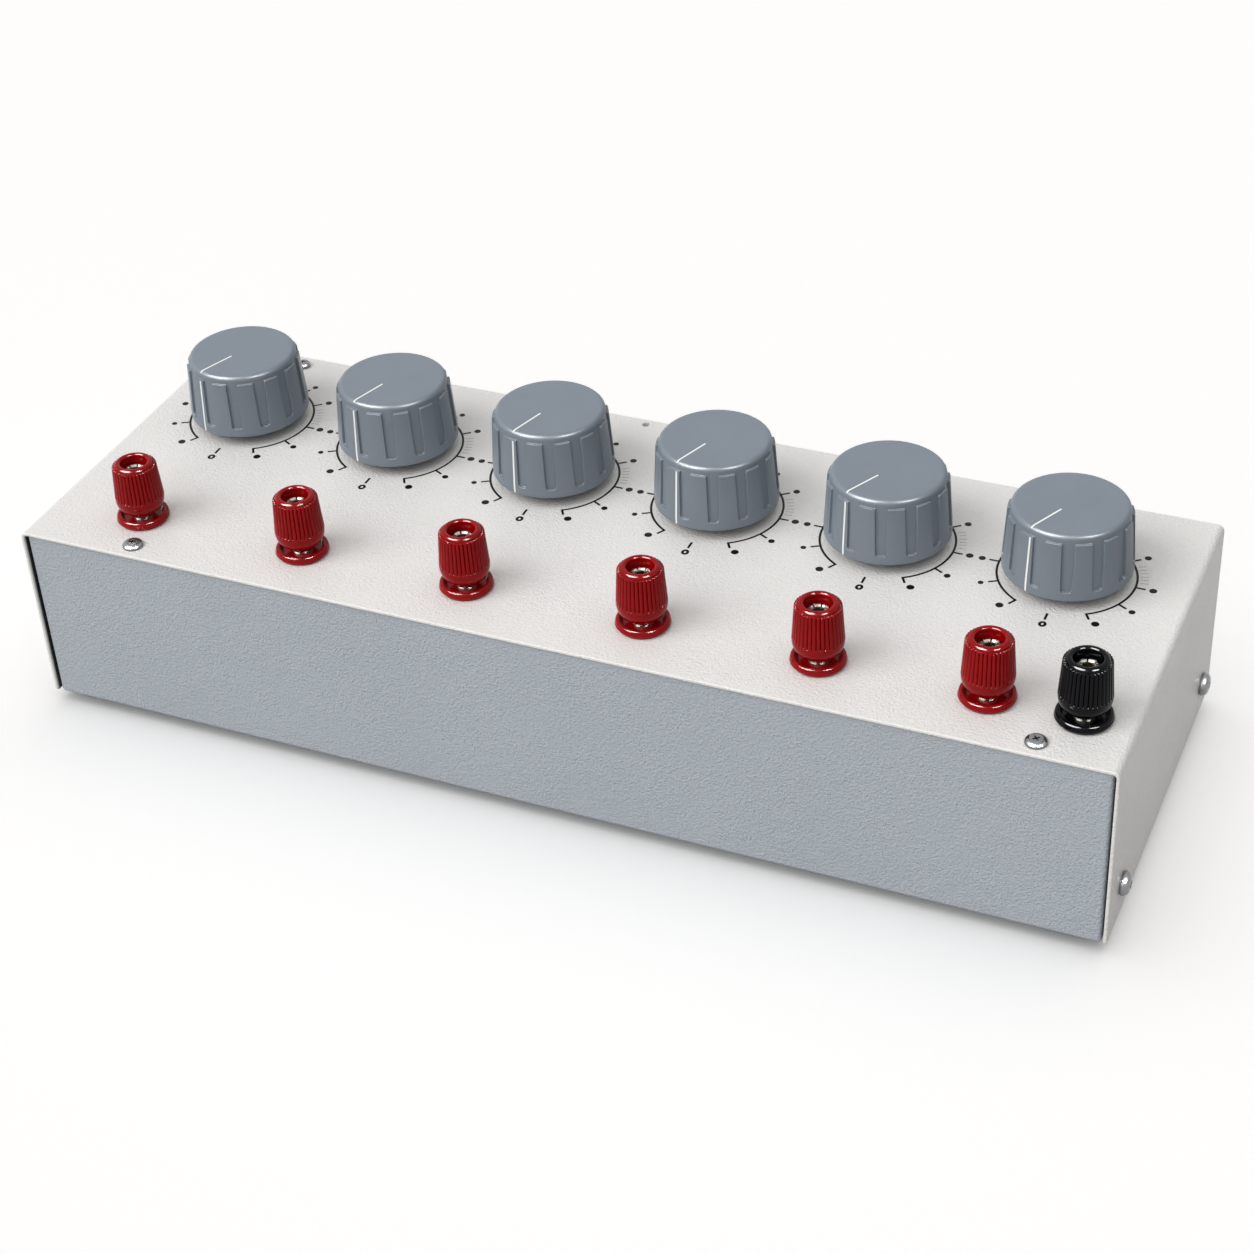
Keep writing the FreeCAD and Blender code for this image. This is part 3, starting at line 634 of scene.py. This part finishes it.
def fluteColumn(p):
    # columns from the first edge of the flute before the place, 0 .. columnsPerPad
    angle = math.degrees(math.atan2(p.y, p.x)) - front - knob["fluteStart"]
    pad = 360 / knob["flutes"]
    return (angle % pad) / pad * knob["columnsPerPad"]


def inFlute(p):
    return fluteColumn(p) < knob["fluteColumns"]


def onColumn(p, column):
    apart = fluteColumn(p) - column
    return min(abs(apart), abs(apart - knob["columnsPerPad"])) < columnNear


def makeKnob():
    shoulder = arcPoints((knob["faceRadius"], knob["sideTop"]), 1, 0, 90, 6)
    shoulder = [(knob["faceRadius"] + (r - knob["faceRadius"]) * (knob["sideTopRadius"] - knob["faceRadius"]),
                 knob["sideTop"] + (z - knob["sideTop"]) * (knob["crown"] - knob["sideTop"])) for r, z in shoulder]
    inner = knob["shoulderRadius"] - knob["wall"]
    outline = [
        (knob["bore"], knob["ceiling"]), (knob["bore"], knob["hubBottom"]),
        (knob["hubRadius"], knob["hubBottom"]), (knob["hubRadius"], knob["ceiling"]), (inner, knob["ceiling"]),
        (knob["footRadius"] - knob["wall"], knob["bottom"]), (knob["footRadius"], knob["bottom"]),
        (knob["footRadius"], knob["skirt"]), (knob["padTopRadius"], knob["padTop"]),
        (knob["shoulderRadius"], knob["padTop"]), (knob["sideTopRadius"], knob["sideTop"])]
    outline += shoulder + [(knob["faceRadius"] - knob["faceRing"], knob["crown"]), (0, knob["crown"])]
    columns = knob["flutes"] * knob["columnsPerPad"]
    shell = growRings("knob_shell", outline, columns)
    capRing(shell, knob["bore"], knob["ceiling"])
    faceOutwards()
    # the circle's first vertex is at the back, so the columns are turned to start at a flute's edge
    column = 360 / columns
    settle(shell, (0, 0, 0), (front + knob["fluteStart"] - back) % column)
    bpy.ops.object.mode_set(mode="EDIT")
    middle = (knob["skirt"] + knob["padTop"]) / 2
    margin = 0.2
    onLedge = knob["shoulderRadius"] - margin / 2
    pick(shell, "FACE", lambda p: at(p.z, middle) and radiusOf(p) > inner + 1 and inFlute(p))
    bpy.ops.mesh.extrude_region_move(TRANSFORM_OT_translate={"value": (0, 0, 0)})
    bpy.ops.transform.resize(value=(knob["fluteFloor"], knob["fluteFloor"], 1), center_override=(0, 0, 0))
    pick(shell, "FACE", lambda p: at(p.z, knob["padTop"]) and inFlute(p)
         and onLedge < radiusOf(p) < knob["padTopRadius"])
    bpy.ops.mesh.delete(type="FACE")
    bpy.ops.mesh.select_all(action="SELECT")
    bpy.ops.mesh.remove_doubles(threshold=knob["weld"] * mm)
    # flute sides lean: narrower at the foot and wider at the ledge
    for edge, lean in ((0, 1), (knob["fluteColumns"], -1)):
        for level, taper in ((knob["skirt"], knob["lowTaper"]), (knob["padTop"], -knob["highTaper"])):
            pick(shell, "VERT", lambda p: at(p.z, level) and radiusOf(p) > onLedge and onColumn(p, edge))
            bpy.ops.transform.rotate(
                value=-math.radians(lean * taper), orient_axis="Z", center_override=(0, 0, 0))
    # the lower corners of the flutes, which the lean has drawn in, are rounded
    drawnIn = knob["lowTaper"] / column
    floorRadius = knob["footRadius"] * knob["fluteFloor"]
    pick(shell, "EDGE", lambda p: at(p.z, knob["skirt"])
         and floorRadius + margin < radiusOf(p) < knob["footRadius"] - margin
         and (onColumn(p, drawnIn) or onColumn(p, knob["fluteColumns"] - drawnIn)))
    bpy.ops.mesh.bevel(offset=knob["cornerRound"] * mm, segments=4, affect="EDGES")
    faceOutwards()
    modify(shell, "BEVEL", width=knob["edgeRound"] * mm, segments=3, limit_method="ANGLE",
           angle_limit=math.radians(40))
    grubHole, accessHole = knob["grubHole"], knob["accessHole"]
    grub = growRings("cutter", [(grubHole, knob["grubFrom"]), (grubHole, knob["accessFrom"]),
                                (accessHole, knob["accessFrom"]), (accessHole, knob["accessTo"])], 32)
    capRing(grub, grubHole, knob["grubFrom"])
    capRing(grub, accessHole, knob["accessTo"])
    faceOutwards()
    settle(grub, (0, 0, knob["grubHeight"]), 90, tilt=90)
    carve(shell, grub)
    smooth(shell)
    return shell


def lineOnKnob(name, path, width, turn):
    # a painted line along a path of (radius, height), drawn towards +X and turned to the front
    points = [(r, 0, z) for r, z in path]
    strip = edgeAt(name, points[0], width, 0)
    sweep(points)
    faceOutwards()
    modify(strip, "SOLIDIFY", thickness=pointer["thick"] * mm, offset=0)
    settle(strip, (0, 0, 0), turn - 90)
    return strip


def makePointer():
    lift = pointer["lift"]
    slope = (knob["padTopRadius"] - knob["footRadius"]) / (knob["padTop"] - knob["skirt"])
    sideEnd = knob["footRadius"] + slope * (pointer["sideHigh"] - knob["skirt"])
    side = lineOnKnob("pointer_side", [
        (knob["footRadius"] + lift, knob["bottom"] + knob["edgeRound"]),
        (knob["footRadius"] + lift, knob["skirt"]), (sideEnd + lift, pointer["sideHigh"])],
        pointer["sideWidth"], pointer["sideTurn"])
    top, run = knob["crown"] + lift, knob["sideTopRadius"] - knob["faceRadius"]
    over = [(knob["faceRadius"] + (run + lift) * math.sin(math.radians(a)),
             knob["sideTop"] + (top - knob["sideTop"]) * math.cos(math.radians(a)))
            for a in pointer["shoulderAngles"]]
    upper = lineOnKnob("pointer_top", [(pointer["inner"], top)] + over, pointer["topWidth"], pointer["topTurn"])
    return join([upper, side], "pointer")


shell = makeKnob()
marker = makePointer()
for number, (x, turn) in enumerate(zip(cover["knobX"], knob["turns"]), 1):
    place = (x, cover["knobY"], topFace)
    body = "decade_%d" % number
    dress(copyOf(shell, "fluted_knob_%d" % number, place, turn), body, knobPlastic,
          ("knob_%d" % number,))
    dress(copyOf(marker, "pointer_line_%d" % number, place, turn), body, pointerPaint)
bpy.data.objects.remove(shell)
bpy.data.objects.remove(marker)
print("knobs made")

# Dial prints: an open ring round each knob with ticks and dots, and a 0 in front
dial = {
    "ring": 22.3, "gap": 30.8, "line": 0.78, "tick": 3.3, "cornerTick": 3.0, "thick": 0.04,
    "dots": 28.0, "right": ((33.4, 2.6), (61.2, 2.2), (89.6, 2.5), (127.6, 2.3), (154.4, 2.0)),
    "left": ((33.4, 2.6), (61.2, 1.9), (89.6, 2.3), (127.6, 2.3), (154.4, 2.0)), "backDot": 2.0,
    "zero": 28.7, "zeroSize": (2.65, 3.0), "zeroStroke": 0.92, "zeroTick": (22.75, 26.25),
    "fineMarks": (96.5, 101.0, 105.0, 109.5, 114.0, 118.5), "fineReach": (23.4, 25.9), "fineLine": 0.22}


def around(radius, angle):
    # a place on the dial, the angle from the front towards +X
    t = math.radians(angle)
    return (radius * math.sin(t), -radius * math.cos(t), 0)


def radialLine(angle, inner, outer, width):
    line = edgeAt("dial_line", around(inner, angle), width, angle + 90)
    sweep([around(inner, angle), around(outer, angle)])
    bpy.ops.object.mode_set(mode="OBJECT")
    return line


def inkLayer(parts, name):
    layer = join(parts, name)
    modify(layer, "SOLIDIFY", thickness=dial["thick"] * mm, offset=0)
    bpy.ops.object.mode_set(mode="EDIT")
    faceOutwards()
    return layer


def makeDial():
    parts = []
    ring = edgeAt("dial_ring", around(dial["ring"], -dial["gap"]), dial["line"], -dial["gap"])
    bpy.ops.mesh.spin(steps=120, angle=math.radians(360 - 2 * dial["gap"]), center=(0, 0, 0), axis=(0, 0, 1))
    bpy.ops.object.mode_set(mode="OBJECT")
    parts.append(ring)
    half = dial["line"] / 2
    start, end, line = dial["ring"] + half, dial["ring"] + dial["tick"], dial["line"]
    for side, dots in ((1, dial["right"]), (-1, dial["left"])):
        # the first dot belongs to the corner of the ring, which has its own tick
        corner = (dial["ring"] - half, dial["ring"] + dial["cornerTick"])
        parts.append(radialLine(side * dial["gap"], *corner, line))
        for angle, size in dots[1:]:
            parts.append(radialLine(side * angle, start, end, line))
    parts.append(radialLine(180, start, end, line))
    parts.append(radialLine(0, *dial["zeroTick"], line))
    dots = [(angle, size) for angle, size in dial["right"]] + [(-angle, size) for angle, size in dial["left"]]
    for angle, size in dots + [(180, dial["backDot"])]:
        bpy.ops.object.select_all(action="DESELECT")
        bpy.ops.mesh.primitive_circle_add(vertices=28, radius=size / 2 * mm, fill_type="NGON",
                                          location=Vector(around(dial["dots"], angle)) * mm)
        parts.append(bpy.context.object)
    wide, tall = dial["zeroSize"]
    bpy.ops.object.select_all(action="DESELECT")
    bpy.ops.mesh.primitive_circle_add(vertices=40, radius=0.5 * mm, fill_type="NOTHING")
    zero = bpy.context.object
    bpy.ops.object.mode_set(mode="EDIT")
    bpy.ops.mesh.select_mode(type="VERT")
    bpy.ops.mesh.select_all(action="SELECT")
    bpy.ops.transform.resize(value=(wide, tall, 1), center_override=(0, 0, 0))
    bpy.ops.mesh.extrude_region_move(TRANSFORM_OT_translate={"value": (0, 0, 0)})
    stroke = 2 * dial["zeroStroke"]
    bpy.ops.transform.resize(value=(1 - stroke / wide, 1 - stroke / tall, 1), center_override=(0, 0, 0))
    bpy.ops.object.mode_set(mode="OBJECT")
    settle(zero, around(dial["zero"], 0))
    parts.append(zero)
    return inkLayer(parts, "dial")


def makeFineMarks():
    marks = [radialLine(angle, *dial["fineReach"], dial["fineLine"]) for angle in dial["fineMarks"]]
    return inkLayer(marks, "fine")


dialShape, fineShape = makeDial(), makeFineMarks()
for number, x in enumerate(cover["knobX"], 1):
    place = (x, cover["knobY"], topFace + dial["thick"] / 2)
    dress(copyOf(dialShape, "dial_print_%d" % number, place), "root", dialInk)
    dress(copyOf(fineShape, "fine_marks_%d" % number, place), "root", fadedInk)
bpy.data.objects.remove(dialShape)
bpy.data.objects.remove(fineShape)
print("dials made")

# Terminals, heights over the case's top face
post = {
    "bore": 3.51, "capBottom": 3.9, "footRadius": 5.2, "footEdge": 0.15, "wideHeight": 9.1, "wideRadius": 8.3,
    "sag": 0.95, "sagOut": 0.8, "sagDown": 0.6, "sagSteps": 7,
    "ledge": 21.5, "ledgeRadius": 7.45, "ledgeRound": 0.3, "ledgeNick": 0.08, "collar": 6.62,
    "capTop": 22.75, "lip": 1.3, "mouth": 4.4, "mouthLip": 0.85,
    "threadTop": 17.0, "ribs": 36, "columnsPerRib": 6, "grooveStart": 9.75, "grooveRun": 0.3,
    "grooveDepth": 0.922, "ribShoulder": 0.984,
    "clampRadius": 4.4, "clampHeight": 1.4, "clampLowEdge": 0.2, "clampHighEdge": 0.15,
    "flangeFoot": 8.3, "flange": 9.0, "widest": 1.2, "waist": ((0.08, -0.14), (0, 0), (0.02, 0.16)),
    "shoulder": 8.75, "rim": 3.0, "rimRound": 0.85, "rimTurn": 160,
    "dish": 6.2, "dishFloor": 1.2, "dishRise": 0.25, "dishRun": 0.2, "spigot": 4.4, "sheet": 1.2,
    "stud": 3.45, "studTop": 19.8, "studLow": -10.6, "studEdge": (0.12, 0.09, 0.3),
    "socket": 2.0, "socketDepth": 15.0, "chamfer": 0.7, "chamferShare": 0.6, "chamferEase": 0.2,
    "slots": 6, "slot": (0.55, 0.9), "slotLength": 2, "slotMiddle": 3}


def makeCap():
    low, wide = (post["footRadius"], post["capBottom"]), (post["wideRadius"], post["wideHeight"])
    bulge = []
    for k in range(1, post["sagSteps"]):
        share = k / post["sagSteps"]
        sag = post["sag"] * 4 * share * (1 - share)
        bulge.append((low[0] + (wide[0] - low[0]) * share + sag * post["sagOut"],
                      low[1] + (wide[1] - low[1]) * share - sag * post["sagDown"]))
    slope = (post["ledgeRadius"] - post["wideRadius"]) / (post["ledge"] - post["wideHeight"])

    def sideAt(height):
        return (post["wideRadius"] + slope * (height - post["wideHeight"]), height)

    ledge, edge, radius = post["ledge"], post["footEdge"], post["ledgeRadius"]
    corner, nick, full = post["ledgeRound"], post["ledgeNick"], post["grooveStart"] + post["grooveRun"]
    outline = [(post["bore"], low[1]), (low[0] - edge, low[1]), (low[0], low[1] + edge)] + bulge
    outline += [wide, sideAt(post["grooveStart"]), sideAt(full), sideAt(ledge - corner),
                (radius - nick, ledge - nick), (radius - corner, ledge), (post["collar"], ledge)]
    outline += arcPoints((post["collar"] - post["lip"], post["capTop"] - post["lip"]), post["lip"], 0, 90, 7)
    outline += arcPoints((post["mouth"] + post["mouthLip"], post["capTop"] - post["mouthLip"]),
                         post["mouthLip"], 90, 180, 5)
    outline += [(post["mouth"], post["threadTop"]), (post["bore"], post["threadTop"]),
                (post["bore"], post["capBottom"])]
    barrel = growRings("cap_barrel", outline, post["ribs"] * post["columnsPerRib"])
    rib, margin = 360 / post["ribs"], 0.2

    def inGroove(p, column):
        turn = (math.degrees(math.atan2(p.y, p.x)) - back) % rib / rib * post["columnsPerRib"]
        apart = min(turn, post["columnsPerRib"] - turn)
        return (full - near < p.z < ledge + near and radiusOf(p) > post["collar"] + margin
                and abs(apart - column) < columnNear)

    for column, depth in ((0, post["grooveDepth"]), (1, post["ribShoulder"])):
        pick(barrel, "VERT", lambda p: inGroove(p, column))
        bpy.ops.transform.resize(value=(depth, depth, 1), center_override=(0, 0, 0))
    faceOutwards()
    smooth(barrel, 42, weighted=False)
    return barrel


def makeFlange():
    rim = post["rim"] - post["rimRound"]
    outline = [(post["bore"], -post["sheet"]), (post["spigot"], -post["sheet"]), (post["spigot"], 0),
               (post["flangeFoot"], 0)]
    outline += [(post["flange"] - inward, post["widest"] + up) for inward, up in post["waist"]]
    outline.append((post["shoulder"], rim))
    outline += arcPoints((post["shoulder"] - post["rimRound"], rim), post["rimRound"], 0, post["rimTurn"], 12)
    outline += [(post["dish"] + post["dishRise"], post["dishFloor"] + post["dishRise"]),
                (post["dish"] - post["dishRun"], post["dishFloor"]), (post["bore"], post["dishFloor"]),
                (post["bore"], -post["sheet"])]
    flange = growRings("flange", outline, 72)
    faceOutwards()
    smooth(flange, 45)
    return flange


def makeClamp():
    low, high, radius = post["capBottom"] - post["clampHeight"], post["capBottom"], post["clampRadius"]
    lowEdge, highEdge = post["clampLowEdge"], post["clampHighEdge"]
    outline = [(post["bore"], low), (radius - lowEdge, low), (radius, low + lowEdge), (radius, high - highEdge),
               (radius - highEdge, high), (post["bore"], high), (post["bore"], low)]
    clamp = growRings("clamp", outline, 56)
    faceOutwards()
    smooth(clamp, 40)
    return clamp


def makeStud():
    top, floor = post["studTop"], post["studTop"] - post["socketDepth"]
    inward, high, low = post["studEdge"]
    socket, chamfer, ease = post["socket"], post["chamfer"], post["chamferEase"]
    outline = [(post["stud"], post["studLow"]), (post["stud"], top - low), (post["stud"] - inward, top - high),
               (socket + chamfer, top), (socket + ease, top - chamfer * post["chamferShare"]),
               (socket, top - chamfer - ease), (socket, floor), (0, floor)]
    stud = growRings("stud", outline, 60)
    capRing(stud, post["stud"], post["studLow"])
    faceOutwards()
    cutters = []
    width, depth = post["slot"]
    for k in range(post["slots"]):
        bpy.ops.object.select_all(action="DESELECT")
        bpy.ops.mesh.primitive_cube_add(size=1)
        cutter = bpy.context.object
        cutter.scale = (post["slotLength"] * mm, width * mm, 2 * depth * mm)
        cutter.location = (post["slotMiddle"] * mm, 0, top * mm)
        bpy.ops.object.transform_apply(location=True, scale=True)
        settle(cutter, (0, 0, 0), (k + 0.5) * 360 / post["slots"])
        cutters.append(cutter)
    carve(stud, join(cutters, "cutter"))
    smooth(stud, 40)
    return stud


barrel, flange, clamp, stud = makeCap(), makeFlange(), makeClamp(), makeStud()
capTurn, studTurn = 7, 11   # each next one stands a little further round
for number, x in enumerate(cover["postX"], 1):
    place = (x, cover["postY"], topFace)
    red = number < len(cover["postX"])
    colour, colourSlot = (redMoulding, "red_moulding") if red else (blackMoulding, "black_moulding")
    dress(copyOf(barrel, "terminal_cap_%d" % number, place, capTurn * number), "cap_%d" % number, colour,
          ("post_cap_%d" % number,))
    dress(copyOf(clamp, "neck_ring_%d" % number, place), "clamp_%d" % number, socketChrome,
          ("post_clamp_%d" % number,))
    dress(copyOf(flange, "dished_flange_%d" % number, place), "root", colour,
          ("post_flanges_red" if red else "post_flange_black",))
    dress(copyOf(stud, "socket_stud_%d" % number, place, studTurn * number), "root", socketChrome,
          ("post_studs",))
for shape in (barrel, flange, clamp, stud):
    bpy.data.objects.remove(shape)
print("terminals made")

# Floor, light and camera, in metres
# a lamp: name, azimuth, elevation, width, strength, and whether it lights the pieces
studio = {
    "floorSize": 12.0, "paper": 0.68, "paperSeen": (1.395, 1.38, 1.365, 1), "paperGlow": 0.08,
    "skyLow": 0.06, "skyHigh": 1.19,
    "lamps": (("left softbox", -50, 42, 40, 1.5, True), ("front softbox", -5, 32, 40, 0.72, True),
              ("left sparkle", -38, 50, 46, 40.0, False), ("right sparkle", 62, 48, 28, 19.0, False)),
    "camera": (0.30298, -0.63404, 0.54407), "azimuth": 25.2746, "elevation": 36.1179, "roll": -3.4659,
    "lens": 72.775, "sensor": 36}


def seenDirectly(tree):
    # 1 for the camera and for what is mirrored, 0 for the light that falls on the pieces
    path = tree.nodes.new("ShaderNodeLightPath")
    seen = path.outputs["Is Camera Ray"]
    for ray in ("Is Glossy Ray", "Is Transmission Ray"):
        either = tree.nodes.new("ShaderNodeMath")
        either.operation = "MAXIMUM"
        tree.links.new(seen, either.inputs[0])
        tree.links.new(path.outputs[ray], either.inputs[1])
        seen = either.outputs[0]
    return seen


def makeFloor():
    bpy.ops.object.select_all(action="DESELECT")
    bpy.ops.mesh.primitive_plane_add(size=studio["floorSize"])
    floor = bpy.context.object
    floor.name = "studio_floor"
    paper = bpy.data.materials.new("studio paper")
    paper.use_nodes = True
    tree = paper.node_tree
    tree.nodes.clear()
    output = tree.nodes.new("ShaderNodeOutputMaterial")
    matt, bright = tree.nodes.new("ShaderNodeBsdfDiffuse"), tree.nodes.new("ShaderNodeBsdfDiffuse")
    matt.inputs["Color"].default_value = (studio["paper"],) * 3 + (1,)
    bright.inputs["Color"].default_value = studio["paperSeen"]
    glow = tree.nodes.new("ShaderNodeEmission")
    glow.inputs["Strength"].default_value = studio["paperGlow"]
    white = tree.nodes.new("ShaderNodeAddShader")
    tree.links.new(bright.outputs[0], white.inputs[0])
    tree.links.new(glow.outputs[0], white.inputs[1])
    either = tree.nodes.new("ShaderNodeMixShader")
    tree.links.new(seenDirectly(tree), either.inputs[0])
    tree.links.new(matt.outputs[0], either.inputs[1])
    tree.links.new(white.outputs[0], either.inputs[2])
    tree.links.new(either.outputs[0], output.inputs["Surface"])
    floor.data.materials.append(paper)
    return floor


def makeWorld():
    # soft light that grows with the square of the height; white where it is seen or mirrored
    world = bpy.data.worlds.new("studio white")
    bpy.context.scene.world = world
    world.use_nodes = True
    tree = world.node_tree
    sky = tree.nodes["Background"]
    sky.inputs["Color"].default_value = (1, 1, 1, 1)
    way = tree.nodes.new("ShaderNodeTexCoord")
    parts = tree.nodes.new("ShaderNodeSeparateXYZ")
    tree.links.new(way.outputs["Generated"], parts.inputs[0])
    height, light = tree.nodes.new("ShaderNodeMath"), tree.nodes.new("ShaderNodeMath")
    height.operation, light.operation = "MULTIPLY", "MULTIPLY_ADD"
    for number in range(2):
        tree.links.new(parts.outputs["Z"], height.inputs[number])
    tree.links.new(height.outputs[0], light.inputs[0])
    light.inputs[1].default_value, light.inputs[2].default_value = studio["skyHigh"], studio["skyLow"]
    level = tree.nodes.new("ShaderNodeMix")
    tree.links.new(seenDirectly(tree), level.inputs["Factor"])
    tree.links.new(light.outputs[0], level.inputs["A"])
    level.inputs["B"].default_value = 1.0
    tree.links.new(level.outputs["Result"], sky.inputs["Strength"])


def makeLamp(name, azimuth, elevation, width, strength, lights, receivers):
    # a distant lamp, its azimuth from the front towards +X; a sparkle only shows in gloss
    lamp = bpy.data.lights.new(name, "SUN")
    lamp.angle, lamp.energy = math.radians(width), strength
    if not lights:
        lamp.cycles.max_bounces = 0
    holder = bpy.data.objects.new(name, lamp)
    holder.rotation_euler = (math.radians(90 - elevation), 0, math.radians(azimuth))
    holder.visible_diffuse = lights
    holder.light_linking.receiver_collection = receivers
    bpy.context.collection.objects.link(holder)


def makeCamera():
    eye = bpy.data.cameras.new("camera")
    eye.lens, eye.sensor_width = studio["lens"], studio["sensor"]
    holder = bpy.data.objects.new("camera", eye)
    turn = (Matrix.Rotation(math.radians(studio["azimuth"]), 4, "Z")
            @ Matrix.Rotation(math.radians(90 - studio["elevation"]), 4, "X")
            @ Matrix.Rotation(math.radians(studio["roll"]), 4, "Z"))
    holder.matrix_world = Matrix.Translation(studio["camera"]) @ turn
    bpy.context.collection.objects.link(holder)
    bpy.context.scene.camera = holder


# the softboxes leave the floor out, so that only the sky's shadow falls on it
# the sparkles reach smooth pieces only
offFloor = bpy.data.collections.new("floor left out")
offFloor.objects.link(makeFloor())
offFloor.collection_objects[0].light_linking.link_state = "EXCLUDE"
glossy = bpy.data.collections.new("smooth pieces")
for piece in pieces:
    if piece.active_material in (redMoulding, blackMoulding, knobPlastic, screwChrome):
        glossy.objects.link(piece)
makeWorld()
for lamp in studio["lamps"]:
    makeLamp(*lamp, offFloor if lamp[-1] else glossy)
makeCamera()
bpy.context.scene.view_settings.view_transform = "Standard"
print("studio made")
